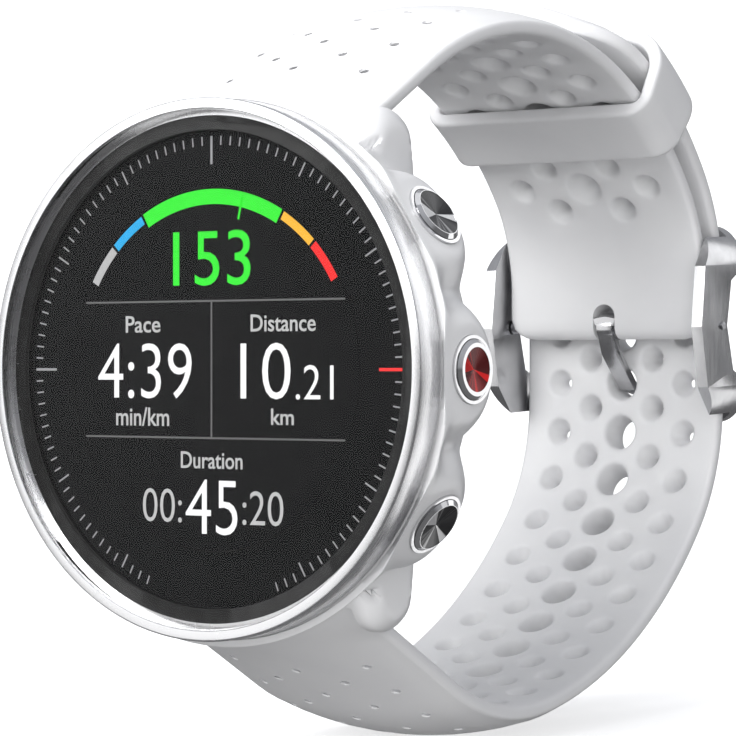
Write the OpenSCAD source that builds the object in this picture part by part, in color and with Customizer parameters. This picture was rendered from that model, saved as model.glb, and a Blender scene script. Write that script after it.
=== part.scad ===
// GPS running watch, buckled, worn with the dial facing -Y and the wrist along X.
// +X is 3 o'clock, +Z is 12 o'clock, and the origin is the centre of the sensor window's face.

/* [Case] */
// Outer diameter of the metal bezel
bezel_d = 46.1; // [42:0.1:50]
// Height of the watch from the sensor window's face to the front of the glass
case_h = 12.5; // [12:0.1:16]
// Height of the bezel ring
bezel_h = 3.2; // [3:0.1:4]
// How far the case's lip stands out past the bezel's flank
case_lip = 0.35; // [0.1:0.05:0.6]
// Thickness of the case wall
wall = 2.1; // [1.8:0.1:3]
// Height of the rear cover's rim above the sensor window's face
rear_rise = 1.0; // [0.8:0.1:1.6]

/* [Glass and dial] */
// Width of the bezel's front edge
bezel_w = 0.93; // [0.6:0.01:2]
// Thickness of the cover glass
glass_t = 1.2; // [0.8:0.1:1.6]
// Radial gap between the glass and the bezel
glass_gap = 0.12; // [0.05:0.01:0.3]
// Thickness of the adhesive gasket under the glass
gasket_t = 0.4; // [0.2:0.1:0.6]
// Depth of the printed dial ring under the front of the glass
dial_depth = 2.1; // [1.8:0.1:2.6]
// Width of the printed dial ring
dial_w = 4.9; // [4:0.1:6]
// Thickness of the display module
display_t = 2; // [1.6:0.1:2.2]

/* [Buttons] */
// Angle of the upper and lower buttons from the middle one
button_angle = 32.5; // [30:0.5:36]
// How far the top of a button's head lies under the top of the case
button_drop = 0.8; // [0.5:0.1:1.1]
// Diameter of a button's head
button_d = 5; // [4.6:0.1:5.4]
// Thickness of a button's head
button_t = 1.3; // [1.1:0.1:1.6]
// How far a button's face stands out from the bezel's radius
button_out = 1.15; // [1:0.05:1.6]
// Travel of a button
button_travel = 0.5; // [0.3:0.1:0.6]
// Diameter of a button's stem
stem_d = 2; // [1.6:0.1:2.4]
// Radial clearance of a stem in the case wall
stem_fit = 0.03; // [0.02:0.01:0.1]
// Wall of the metal collar around a button
collar_wall = 0.28; // [0.2:0.01:0.4]
// Radial clearance of a button's head in its collar
head_fit = 0.06; // [0.03:0.01:0.1]
// Diameter of the insert in the middle button
ok_insert_d = 3.7; // [3:0.1:4]
// Diameter of the insert in the other buttons
insert_d = 4.3; // [3:0.1:4.4]

/* [Lugs and straps] */
// Clear width between the lug horns
lug_gap = 25; // [22:0.1:26]
// Thickness of one lug horn
horn_t = 2.3; // [1.8:0.1:3]
// Radius of a horn's rounded tip
horn_r = 3; // [2.4:0.1:3.6]
// Height of the lug bars above the sensor window's face
lug_z = 3.9; // [3.4:0.1:4.6]
// How far the lug bars lie inside the bezel's radius
lug_inset = 3.85; // [2:0.05:4.5]
// Width of the straps
strap_w = 23; // [20:0.1:24]
// Thickness of the straps at their middle
strap_t = 3.4; // [2.8:0.1:4]
// Thickness of the straps at their side edges
strap_edge = 1.4; // [1.2:0.1:2]
// Slope of the upper strap where it leaves the case
upper_slope = 31.2; // [28:0.1:34]
// Slope of the lower strap where it leaves the case
lower_slope = 29.6; // [28:0.1:32]
// Length of the upper strap's straight stretch beside the case
upper_run = 9.9; // [8:0.1:12]
// Radius of the upper strap's long bend
bend_r = 34.3; // [32:0.1:38]
// Angle of the upper strap's long bend
bend_a = 83.6; // [80:0.1:86]
// Radius of the upper strap's tight bend above the buckle
corner_r = 15.6; // [14:0.1:18]
// Length of the upper strap's straight end at the buckle
end_run = 5.6; // [5:0.1:7]
// Radius of the lower strap's first bend
low_bend_r = 23.2; // [21:0.1:25]
// Angle of the lower strap's first bend
low_bend_a = 37.8; // [34:0.1:40]
// Radius of the lower strap's middle bend
low_mid_r = 46.7; // [42:0.1:50]
// Angle of the lower strap's middle bend
low_mid_a = 39.9; // [38:0.1:42]
// Radius of the lower strap's bend under the buckle
low_corner_r = 18.65; // [17:0.05:20]
// Gap between the two strap layers
layer_gap = 0.1; // [0.05:0.05:0.4]
// Angle that the tail covers on the long bend, past the tight one
tail_a = 37; // [30:1:42]

/* [Perforations] */
// Pitch of the perforations along the upper strap
upper_pitch = 5.3; // [4.6:0.1:6]
// Pitch of the perforations along the lower strap
hole_pitch = 5.1; // [4.6:0.1:6]
// Distance of the outer holes from the strap's edge
hole_edge = 4.1; // [3:0.1:5]
// Diameter of a side hole at the wrist side
side_in_d = 3.2; // [2.4:0.1:3.6]
// Diameter of a side hole at the outside
side_out_d = 0.8; // [0.5:0.1:1.4]
// Diameter of a middle hole at the wrist side
mid_in_d = 4.2; // [3.6:0.1:4.6]
// Diameter of an adjusting hole at the outside
mid_out_d = 2.9; // [2.8:0.1:3.4]

/* [Buckle and keeper] */
// Gap between the straps' edges and the buckle's sides
buckle_gap = 0.4; // [0.2:0.05:1]
// Height of the buckle frame
buckle_h = 20.3; // [18:0.1:24]
// Thickness of the buckle frame's sides
buckle_t = 1.2; // [0.8:0.1:1.5]
// Height of the buckle frame's crossbars
crossbar_h = 2.2; // [1.8:0.1:3]
// Thickness of the buckle frame's crossbars
crossbar_t = 1.4; // [1.2:0.1:2]
// Gap between the tail and the crossbars where the strap is straight
crossbar_gap = 0.15; // [0.1:0.05:0.5]
// Tilt of the buckle frame that follows the tail's bend
buckle_tilt = 2.5; // [2:0.1:3]
// Width of the tongue
tongue_w = 1.8; // [1.4:0.1:2]
// Thickness of the tongue
tongue_t = 0.9; // [0.7:0.1:1]
// Length of the keeper along the strap
keeper_l = 7.3; // [6:0.1:9]
// Wall of the keeper
keeper_wall = 1.6; // [1.4:0.1:2.2]
// Gap between the keeper and the straps
keeper_gap = 0.3; // [0.2:0.05:0.6]

/* [Spring bars] */
// Outer diameter of the lug bars' tubes
bar_d = 1.8; // [1.5:0.1:2]
// Outer diameter of the buckle bar's tube
pin_d = 1.5; // [1.3:0.1:1.6]
// Diameter of a bar's tip
tip_d = 0.8; // [0.7:0.05:1]
// Length of a tip outside its tube
tip_l = 1.6; // [1.4:0.1:1.8]
// Travel of a tip into its tube
tip_travel = 1.2; // [1:0.1:1.3]

/* [Inside] */
// Thickness of the main circuit board
board_t = 0.7; // [0.6:0.1:1]
// Width and length of the battery
battery_w = 18; // [14:0.5:18]
// Thickness of the battery
battery_t = 2.6; // [2:0.1:2.8]
// Diameter of the vibration motor
motor_d = 7; // [6:0.5:8]
// Diameter of the sensor window
window_d = 17; // [14:0.5:18]
// Thickness of the sensor window
window_t = 0.8; // [0.6:0.1:0.9]
// Width of the case's rim round the rear cover
back_rim = 0.85; // [0.6:0.05:2]

/* [Hidden] */
$fn = 96;
e = 0.01;
slip = 0.05;

ANGLES = [button_angle, 0, -button_angle, 180 - button_angle, 180 + button_angle];

// Radii and heights of the case, measured from its axis and from the sensor window's face.
bezel_r = bezel_d / 2;
glass_r = bezel_r - bezel_w - glass_gap;
glass_seat = 0.4;
flange_r = glass_r - glass_seat;
waist_in = 1.5;
back_in = 2.6;
case_r = bezel_r + case_lip;
waist_r = case_r - waist_in;
rear_r = waist_r - back_in;
wall_taper = 0.5;
cavity_r = waist_r - wall + wall_taper;
case_top = case_h - bezel_h;
bezel_fit = 0.1;
glass_z = case_h - glass_t;
dial_z = case_h - dial_depth;
gasket_w = 1.2;
dial_rim_r = flange_r - gasket_w;
display_r = dial_rim_r - dial_w;
ledge_t = 0.8;
ledge_w = 3.45;
cover_t = 0.9;
cover_z = rear_rise + cover_t;
cover_fit = 0.1;
cover_r = rear_r - back_rim;
ledge_r = cover_r - ledge_w;
plate_t = 0.5;
plate_z = dial_z - display_t;
board_gap = 1.3;
board_z = plate_z - plate_t - board_gap;

// Button sizes along each button's own axis.
button_z = case_top - button_d / 2 - button_drop;
face_u = bezel_r + button_out;
head_u = face_u - button_t;
head_proud = 0.55;
boss_u = face_u - head_proud;
spring_room = 1.5;
seat_u = head_u - spring_room;
seal_d = stem_d + 1;
seal_l = 1.1;
stem_wall = 2.3;
inner_u = seat_u - stem_wall;
inner_boss_d = stem_d + 3;
clip_t = 0.4;
clip_gap = 0.06;
clip_d = stem_d + 1.2;
groove_d = stem_d - 0.6;
stem_u = inner_u - 1;
switch_gap = 0.05;
collar_in_d = button_d + 2 * head_fit;
collar_d = collar_in_d + 2 * collar_wall;
boss_wall = 1.2;
boss_d = collar_d + 2 * boss_wall;
switch_t = 1.6;
switch_u = stem_u - button_travel - switch_gap;
spring_r = stem_d / 2 + 0.72;
spring_wire = 0.32;
ring_out = switch_u - switch_t;
ring_in = ring_out - 1;

// Lug bar and strap stations in the side view: [depth, height, heading].
lug_y = -lug_z;
lug_out = bezel_r - lug_inset;
strap_fit = 0.15;
lug_strap_w = lug_gap - 2 * strap_fit;
barrel_wall = 0.8;
barrel_r = bar_d / 2 + barrel_wall;
recess_z = lug_out - barrel_r - strap_fit;
recess_roof = 1.9;
recess_top = case_top - recess_roof;
start_back = 2.45;
start_up = 0.4;
function dir(a) = [cos(a), sin(a)];
function strap_start(slope) = let (
    p = [lug_y, lug_out] + start_back * dir(slope) + start_up * dir(slope + 90)
) [p[0], p[1], slope];
function arc_l(r, a) = r * a * PI / 180;
// A run is [length, turn]: the turn is in degrees, to the right of the way along the strap.
function run_end(st, run) = run[1] == 0
    ? [st[0] + run[0] * cos(st[2]), st[1] + run[0] * sin(st[2]), st[2]]
    : let (
        r = run[0] / (run[1] * PI / 180),
        c = [st[0], st[1]] - r * dir(st[2] + 90),
        q = c + r * dir(st[2] - run[1] + 90)
    ) [q[0], q[1], st[2] - run[1]];
function chain_end(st, runs, n) = n == 0 ? st : run_end(chain_end(st, runs, n - 1), runs[n - 1]);
function along(st, runs, s, i = 0) = i >= len(runs) - 1 || s <= runs[i][0]
    ? run_end(st, [s, runs[i][1] * s / runs[i][0]])
    : along(run_end(st, runs[i]), runs, s - runs[i][0], i + 1);

upper_start = strap_start(upper_slope);
corner_a = 90 + upper_slope - bend_a;
upper_runs = [
    [upper_run, 0], [arc_l(bend_r, bend_a), bend_a], [arc_l(corner_r, corner_a), corner_a], [end_run, 0]
];
bend_end = chain_end(upper_start, upper_runs, 2);
corner_end = chain_end(upper_start, upper_runs, 3);
bend_c = [bend_end[0], bend_end[1]] - bend_r * dir(bend_end[2] + 90);
layer = strap_t + layer_gap;

// The lower strap is drawn mirrored top to bottom, so it bends to the same side as the upper one.
low_corner_a = 90 + lower_slope - low_bend_a - low_mid_a;
lower_start = strap_start(lower_slope);
low_bends = [
    [arc_l(low_bend_r, low_bend_a), low_bend_a], [arc_l(low_mid_r, low_mid_a), low_mid_a],
    [arc_l(low_corner_r, low_corner_a), low_corner_a]
];
bends_end = chain_end(lower_start, low_bends, 3);
lower_run = (corner_end[0] + layer - bends_end[0]) / cos(lower_slope);
rise_start = bends_end[1] + lower_run * sin(lower_slope);
lower_rise = corner_end[1] + rise_start;
lower_runs = [
    [lower_run, 0], low_bends[0], low_bends[1], low_bends[2], [lower_rise, 0],
    [arc_l(corner_r + layer, corner_a), corner_a], [arc_l(bend_r + layer, tail_a), tail_a]
];
function total(runs, i = 0) = i == len(runs) ? 0 : runs[i][0] + total(runs, i + 1);
lower_len = total(lower_runs);
rise_s = lower_run + low_bends[0][0] + low_bends[1][0] + low_bends[2][0];

// Dome of the straps' outer face, and the outer holes' place.
hole_x = strap_w / 2 - hole_edge;
dome_h = strap_t - strap_edge;
dome_r = (strap_w * strap_w / 4 + dome_h * dome_h) / (2 * dome_h);

// Buckle stations.
buckle_w = strap_w + 2 * (buckle_gap + buckle_t);
bar_in = 1.35;
buckle_y = corner_end[0] + bar_in;
bar_up = 2;
buckle_z = corner_end[1] - end_run + bar_up;
tongue_drop = 5.9;
buckle_hole_z = buckle_z - tongue_drop;
first_mid_s = rise_s + rise_start + buckle_hole_z;
crown_y = corner_end[0] + layer + strap_t;
crossbar_y = crown_y + crossbar_gap;
slot_w = tongue_w + 0.8;
tip_fit = 0.04;
tube_wall = 0.3;
tip_inside = tip_travel + 0.2;
keeper_mid_a = 54;

// Lays a piece drawn face up in the watch's own frame, with its front towards -Y.
module face_up() {
    rotate([90, 0, 0]) children();
}

// Lays an outline drawn in the side view [depth, height] across the watch, along X.
module side_view() {
    rotate([90, 0, 90]) children();
}

// Points a piece drawn along +Z out of the case at a button's angle.
module at_button(angle) {
    face_up() rotate([0, 0, angle]) translate([0, 0, button_z]) rotate([0, 90, 0]) children();
}

// A plain ring standing on z = 0.
module ring(r_out, r_in, h) {
    difference() {
        cylinder(r = r_out, h = h);
        translate([0, 0, -1]) cylinder(r = r_in, h = h + 2);
    }
}

// A flat rectangle with round corners made of true arcs, centred.
module round_rect(w, h, r) {
    square([w - 2 * r, h], center = true);
    square([w, h - 2 * r], center = true);
    for (x = [-1, 1], y = [-1, 1]) translate([x * (w / 2 - r), y * (h / 2 - r)]) circle(r = r);
}

// Outline of the case's outer wall, half of it, as radius against height.
module case_outline() {
    polygon([
        [0, rear_rise], [rear_r, rear_rise], [rear_r + 1.3, rear_rise + 0.7], [waist_r - 0.5, rear_rise + 2],
        [waist_r, rear_rise + 3.4], [waist_r + 0.1, button_z], [case_r - 0.15, case_top - 1.4],
        [case_r, case_top - 0.5], [case_r, case_top], [0, case_top]
    ]);
}

// The recess between the lug horns that takes a strap's end, and the flat wall behind it.
module between_lugs(floor_z, w, top_z) {
    for (up = [0, 1]) mirror([0, up, 0]) translate([-w / 2, floor_z, -1]) cube([w, 20, top_z + 1]);
}

// The white polymer case: a cup open to the front, with button bosses, lug horns and screw bosses.
screw_in = 1.25;
screw_r = cover_r - screw_in;
screw_d = 1.2;
screw_boss_r = 1.5;
screw_angles = [45, 135, 225, 315];
module at_screws() {
    for (a = screw_angles) rotate([0, 0, a]) translate([screw_r, 0, 0]) children();
}
module horn(side, up) {
    mirror([0, 0, up < 0 ? 1 : 0]) side_view()
    translate([0, 0, side > 0 ? lug_gap / 2 : -lug_gap / 2 - horn_t]) linear_extrude(horn_t) union() {
        translate([lug_y, lug_out]) circle(r = horn_r);
        polygon([
            [lug_y - horn_r, lug_out], [lug_y + horn_r, lug_out], [lug_y + horn_r - 0.4, lug_out - 6.2],
            [-case_top + 0.3, lug_out - 6.2], [-case_top + 0.3, lug_out - 1.5]
        ]);
    }
}
module case_cavity() {
    floor_z = cover_z + ledge_t;
    difference() {
        translate([0, 0, floor_z]) cylinder(r = cavity_r, h = case_top);
        between_lugs(recess_z - 1.4, lug_gap + 3, recess_top + 0.9);
        at_screws() cylinder(r = screw_boss_r, h = floor_z + 1.6);
        for (a = ANGLES) rotate([0, 0, a]) translate([inner_u, 0, button_z]) rotate([0, 90, 0])
            cylinder(d = inner_boss_d, h = 9);
    }
}
module case_body() {
    color("white") difference() {
        union() {
            face_up() rotate_extrude() case_outline();
            for (a = ANGLES) at_button(a) translate([0, 0, cavity_r - 0.9]) {
                cylinder(d = boss_d, h = boss_u - cavity_r + 0.5);
                translate([0, 0, boss_u - cavity_r + 0.5]) cylinder(d1 = boss_d, d2 = boss_d - 1, h = 0.5);
            }
            for (side = [-1, 1], up = [-1, 1]) horn(side, up);
        }
        face_up() {
            case_cavity();
            translate([0, 0, case_top - e]) ring(bezel_r + bezel_fit, ring_in, bezel_h);
            translate([0, 0, -1]) cylinder(r = ledge_r, h = case_top);
            between_lugs(recess_z, lug_gap, recess_top);
            translate([0, 0, -1]) cylinder(r = cover_r + cover_fit, h = cover_z + 1);
            translate([0, 0, cover_z - e]) ring(ledge_r + 1.3, ledge_r + 0.5, 0.45);
            at_screws() translate([0, 0, -1]) cylinder(d = screw_d + 0.02, h = cover_z + 3.2);
        }
        for (a = ANGLES) at_button(a) {
            translate([0, 0, seat_u]) cylinder(d = collar_d + 0.02, h = 9);
            translate([0, 0, inner_u - 1]) cylinder(d = stem_d + 2 * stem_fit, h = 9);
            translate([0, 0, seat_u - seal_l]) cylinder(d = seal_d + 0.04, h = seal_l + 1);
        }
        for (up = [-1, 1]) translate([0, lug_y, up * lug_out]) rotate([0, 90, 0])
            cylinder(d = tip_d + 2 * tip_fit, h = lug_gap + 2 * tip_l + 0.2, center = true);
    }
}

// The metal bezel: a polished front edge, a brushed flank and an inner flange that seats the glass.
module bezel() {
    color("silver") face_up() rotate_extrude() polygon([
        [glass_r + glass_gap, case_h], [bezel_r - 0.3, case_h], [bezel_r, case_h - 0.3],
        [bezel_r, case_top + 0.3], [bezel_r - 0.25, case_top], [flange_r, case_top],
        [flange_r, glass_z], [glass_r + glass_gap, glass_z]
    ]);
}

// The round cover glass with a small bevel round its front edge.
module lens() {
    color([0.1, 0.1, 0.1, 0.4]) face_up() translate([0, 0, glass_z]) {
        cylinder(r = glass_r, h = glass_t - 0.2);
        translate([0, 0, glass_t - 0.2]) cylinder(r1 = glass_r, r2 = glass_r - 0.2, h = 0.2);
    }
}

// The adhesive ring between the dial ring's rim and the glass.
module lens_gasket() {
    color("black") face_up() translate([0, 0, glass_z - gasket_t]) ring(flange_r, dial_rim_r, gasket_t);
}

// The black ring that carries the printed ticks, with a rim that holds the glass's gasket.
module dial_ring() {
    color("black") face_up() difference() {
        union() {
            translate([0, 0, dial_z - 0.6]) cylinder(r = dial_rim_r, h = 0.6);
            translate([0, 0, case_top]) cylinder(r = flange_r - slip, h = glass_z - gasket_t - case_top);
        }
        translate([0, 0, dial_z]) cylinder(r = dial_rim_r, h = 3);
        translate([0, 0, case_top - 1]) cylinder(r = dial_rim_r - 0.5, h = dial_z - 0.6 - case_top + 1);
        translate([0, 0, 0]) cylinder(r = display_r + slip, h = case_h);
    }
}

// The round colour display.
module display_module() {
    color("dimgray") face_up() translate([0, 0, plate_z]) cylinder(r = display_r, h = display_t);
}

// The flexible strip from the display down to the main board.
flex_w = 8;
flex_y = -13;
module display_flex() {
    color("orange") face_up() translate([-flex_w / 2, flex_y, board_z + board_t])
        cube([flex_w, 0.3, plate_z - board_z - board_t]);
}

// The inner frame: a plate under the display, and a ring round the board and the battery.
module inner_frame() {
    color("darkslategray") face_up() difference() {
        union() {
            translate([0, 0, plate_z - plate_t]) intersection() {
                cylinder(r = cavity_r - 2.2, h = plate_t);
                cube([99, 2 * (recess_z - 1.6), 9], center = true);
            }
            translate([0, 0, board_z - 2.2]) ring(ring_out, ring_in, 2.3 + 1.3);
        }
        translate([-flex_w / 2 - 0.3, flex_y - 0.3, board_z - 1]) cube([flex_w + 0.6, 0.9, 9]);
    }
}

// The round main circuit board.
board_r = ring_in - 0.15;
module main_board() {
    color("green") face_up() translate([0, 0, board_z]) cylinder(r = board_r, h = board_t);
}

// Packages on the wrist side of the main board: each is [x, y, width, height].
chips = [
    [-6, 5.5, 6, 6], [2.5, 6.5, 5, 4], [8.5, 3, 3, 4],
    [-9.5, -2.5, 3, 3], [3, -6.5, 4, 4], [-3.5, -7, 3, 3]
];
chip_t = 0.9;
module board_components() {
    color("black") face_up() for (c = chips)
        translate([c[0] - c[2] / 2, c[1] - c[3] / 2, board_z - chip_t]) cube([c[2], c[3], chip_t]);
}

// The flat lithium cell.
inside_z = cover_z + 0.2;
battery_x = 2.5;
module battery() {
    color("silver") face_up() translate([battery_x, 0, inside_z]) linear_extrude(battery_t)
        round_rect(battery_w, battery_w, 1);
}

// The satellite antenna: an open ring on the edge of the inner frame.
antenna_t = 0.7;
module gps_antenna() {
    color("goldenrod") face_up() translate([0, 0, plate_z + e]) rotate([0, 0, -15])
        rotate_extrude(angle = 210) translate([cavity_r - 3.7, 0]) square([1.4, antenna_t]);
}

// The coin vibration motor beside the battery.
module vibration_motor() {
    color("lightgray") face_up() translate([battery_x - battery_w / 2 - 0.4 - motor_d / 2, 0, inside_z])
        cylinder(d = motor_d, h = battery_t - 0.3);
}

// The rear cover: a plate with a low dome that carries the sensor window.
dome_low = 0.2;
contact_in = 6.15;
contact_r = cover_r - contact_in;
contact_d = 1.3;
contact_angles = [246, 262, 278, 294];
module rear_cover() {
    color("whitesmoke") face_up() difference() {
        rotate_extrude() polygon([
            [0, dome_low], [window_d / 2 + 0.9, dome_low], [contact_r + 1.2, rear_rise - 0.25],
            [cover_r - 0.3, rear_rise], [cover_r, rear_rise + 0.25], [cover_r, cover_z], [0, cover_z]
        ]);
        translate([0, 0, -1]) cylinder(r = window_d / 2 + slip, h = window_t + 1);
        translate([0, 0, -1]) cylinder(r = window_d / 2 - 0.9, h = cover_z + 2);
        at_screws() {
            cylinder(d = 2.2, h = rear_rise + 0.5);
            cylinder(d = screw_d + 0.1, h = 9);
        }
        for (a = contact_angles) rotate([0, 0, a]) translate([contact_r, 0, 0])
            cylinder(d = contact_d + e, h = 9);
    }
}

// The rubber ring between the rear cover and the case's ledge.
module rear_gasket() {
    color("black") face_up() translate([0, 0, cover_z]) ring(ledge_r + 1.25, ledge_r + 0.55, 0.4);
}

// Four countersunk screws that hold the rear cover.
module rear_screws() {
    color("silver") face_up() at_screws() difference() {
        union() {
            translate([0, 0, rear_rise + 0.05]) cylinder(d = 2.1, h = 0.45);
            translate([0, 0, rear_rise + 0.4]) cylinder(d = screw_d, h = 2.6);
        }
        translate([0, 0, rear_rise]) cylinder(d = 1.1, h = 0.35, $fn = 6);
    }
}

// The clear window over the pulse sensor. Its face is the watch's origin.
module sensor_window() {
    color([0.1, 0.1, 0.1, 0.6]) face_up() cylinder(r = window_d / 2, h = window_t);
}

// The sensor's round board, inside the rear cover.
led_t = 0.4;
sensor_z = window_t + 0.05 + led_t;
module sensor_board() {
    color("darkgreen") face_up() translate([0, 0, sensor_z]) cylinder(r = window_d / 2 - 1.05, h = 0.5);
}

// Light sources and detectors behind the sensor window.
module sensor_leds() {
    color("lime") face_up() translate([0, 0, sensor_z - led_t]) {
        for (a = [0:60:300]) rotate([0, 0, a]) translate([4.6, 0, led_t / 2])
            cube([1.6, 1.6, led_t], center = true);
        translate([0, 0, led_t / 2]) cube([2.6, 2.6, led_t], center = true);
    }
}

// Four sprung-pin pads for the charger, through the rear cover.
module charge_contacts() {
    color("gold") face_up() for (a = contact_angles) rotate([0, 0, a])
        translate([contact_r, 0, rear_rise - 0.35]) cylinder(d = contact_d, h = cover_t + 0.4);
}

// Polished collars pressed into the case round the buttons.
module button_collars() {
    color("silver") for (a = ANGLES) at_button(a) translate([0, 0, seat_u]) difference() {
        cylinder(d = collar_d, h = boss_u - seat_u + 0.2);
        translate([0, 0, -1]) cylinder(d = collar_in_d, h = 9);
    }
}

// Two rubber rings on each stem, in the case wall.
module button_seals() {
    color("black") for (a = ANGLES, i = [0, 1])
        at_button(a) translate([0, 0, seat_u - seal_l + 0.02 + i * 0.5])
            ring(seal_d / 2 - 0.01, stem_d / 2 + stem_fit, 0.48);
}

// Tactile switches on the inner frame, one behind each stem.
module button_switches() {
    color("black") for (a = ANGLES) at_button(a) {
        translate([-1.1, -1.7, ring_out + 0.02]) cube([2.2, 3.4, 1]);
        translate([0, 0, ring_out + 1]) cylinder(d = 1.4, h = switch_u - ring_out - 1);
    }
}

// A button's head and stem in one piece, with a seat for its insert and a groove for its clip.
module button_cap(angle, seat_d) {
    color("silver") at_button(angle) difference() {
        union() {
            translate([0, 0, head_u]) cylinder(d = button_d, h = button_t - 0.3);
            translate([0, 0, face_u - 0.3]) cylinder(d1 = button_d, d2 = button_d - 0.6, h = 0.3);
            translate([0, 0, stem_u]) cylinder(d = stem_d, h = head_u - stem_u + e);
        }
        translate([0, 0, face_u - 0.65]) cylinder(d = seat_d, h = 1);
        translate([0, 0, inner_u - clip_gap - clip_t]) ring(stem_d, groove_d / 2, clip_t);
    }
}

// The dished disc in a button's face.
module button_insert(angle, seat_d, tone) {
    color(tone) at_button(angle) difference() {
        translate([0, 0, face_u - 0.65]) cylinder(d = seat_d, h = 0.6);
        translate([0, 0, face_u - 0.37]) cylinder(d1 = 0, d2 = seat_d + 0.2, h = 0.33);
    }
}

// A wound spring along +Z with a round wire, centred on its axis.
function coil_ring(r, wire, a, z, sides) = [
    for (k = [0:sides - 1]) let (b = 360 * k / sides, q = r + wire / 2 * cos(b))
        [q * cos(a), q * sin(a), z + wire / 2 * sin(b)]
];
module coil(r, wire, length, turns) {
    sides = 6;
    steps = 12;
    count = turns * steps;
    pitch = (length - wire) / turns;
    points = [for (i = [0:count])
        each coil_ring(r, wire, 360 * i / steps, wire / 2 + pitch * i / steps, sides)];
    ends = [[for (k = [0:sides - 1]) k], [for (k = [sides - 1:-1:0]) count * sides + k]];
    faces = [for (i = [0:count - 1], k = [0:sides - 1])
        let (n = (k + 1) % sides, a = i * sides, b = a + sides)
        each [[a + k, b + k, b + n], [a + k, b + n, a + n]]];
    polyhedron(points = points, faces = concat(ends, faces));
}

// The return spring under a button's head.
module button_spring(angle) {
    color("gray") at_button(angle) translate([0, 0, seat_u]) coil(spring_r, spring_wire, head_u - seat_u, 3);
}

// The open clip that keeps a stem from being pulled out.
module button_clip(angle) {
    color("gray") at_button(angle) translate([0, 0, inner_u - clip_gap - clip_t + 0.01]) rotate([0, 0, 45])
        rotate_extrude(angle = 270) translate([groove_d / 2 + 0.01, 0])
            square([(clip_d - groove_d) / 2, clip_t - 0.02]);
}

// Cross-section of a strap: flat to the wrist, domed outside, with small bevels. It starts at x = base,
// and grow makes it larger all round.
dome_strips = 10;
bevel = 0.5;
module strap_section(base, w, grow) {
    low = base - grow;
    side = w / 2 + grow;
    r = dome_r + grow;
    half_a = asin((side - bevel) / r);
    polygon(concat(
        [[low + bevel, -side], [low, bevel - side], [low, side - bevel], [low + bevel, side]],
        [for (i = [0:dome_strips]) let (t = half_a - 2 * half_a * i / dome_strips)
            [base + strap_t - dome_r + r * cos(t), r * sin(t)]]
    ));
}

// One run of a strap from its start station. Every second run is a hair smaller all round, and reaches
// into its neighbours, so that the runs join without a seam.
reach = 0.4;
hair = 0.01;
module strap_run(st, run, w, odd) {
    over = odd ? reach : 0;
    grow = odd ? -hair : 0;
    r = run[1] == 0 ? 0 : run[0] / (run[1] * PI / 180);
    c = [st[0], st[1]] - r * dir(st[2] + 90);
    if (run[1] == 0) translate([st[0], st[1], 0]) rotate([0, 0, st[2]]) rotate([90, 0, 90])
        translate([0, 0, -over]) linear_extrude(run[0] + 2 * over) strap_section(0, w, grow);
    if (run[1] != 0) let (more = over / r * 180 / PI)
        translate([c[0], c[1], 0]) rotate([0, 0, st[2] + 90 - run[1] - more])
        rotate_extrude(angle = run[1] + 2 * more, $fn = 180) strap_section(r, w, grow);
}

// The whole ribbon of a strap along its runs.
module ribbon(st, runs) {
    for (i = [0:len(runs) - 1]) strap_run(chain_end(st, runs, i), runs[i], strap_w, i % 2 == 1);
}

// The strap's end at the case: a wider tongue of the same section, and a barrel round the bar.
module lug_end(st) {
    back = start_back + 3.6;
    difference() {
        union() {
            translate([st[0], st[1], 0] - back * [cos(st[2]), sin(st[2]), 0]) rotate([0, 0, st[2]])
                rotate([90, 0, 90]) linear_extrude(back + reach) strap_section(0, lug_strap_w, hair);
            translate([lug_y, lug_out, -lug_strap_w / 2]) cylinder(r = barrel_r, h = lug_strap_w);
        }
        translate([-recess_top + strap_fit - 9, 0, -20]) cube([9, 40, 40]);
        translate([-9, recess_z + strap_fit - 9, -20]) cube([18, 9, 40]);
        translate([lug_y, lug_out, -20]) cylinder(d = bar_d + 0.06, h = 40);
    }
}

// A row of perforations across a strap at station s: row A has a middle hole, row B has not.
module perforation(st, x, d_in, d_out) {
    slope = (d_out - d_in) / strap_t;
    translate([st[0], st[1], x]) rotate([0, 0, st[2]]) rotate([-90, 0, 0]) translate([0, 0, -0.3])
        cylinder(d1 = d_in - 0.3 * slope, d2 = d_out + 0.3 * slope, h = strap_t + 0.6);
}
module perforation_row(st, row_a, mid_d_out) {
    if (row_a) {
        for (x = [-hole_x, hole_x]) perforation(st, x, side_in_d, side_out_d);
        perforation(st, 0, mid_in_d, mid_d_out);
    } else {
        for (x = [-hole_x / 2, hole_x / 2]) perforation(st, x, side_in_d, side_out_d);
    }
}

// Cuts the corners of an end that points along +Y at the origin to a radius, through 12 mm of depth.
module corner_cut(w, r) {
    for (side = [0, 1]) mirror([0, 0, side]) translate([0, 0, w / 2 - r]) difference() {
        translate([-r, -6, 0]) cube([r + 1, 12, r + 1]);
        translate([-r, 0, 0]) rotate([90, 0, 0]) cylinder(r = r, h = 14, center = true);
    }
}

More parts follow.
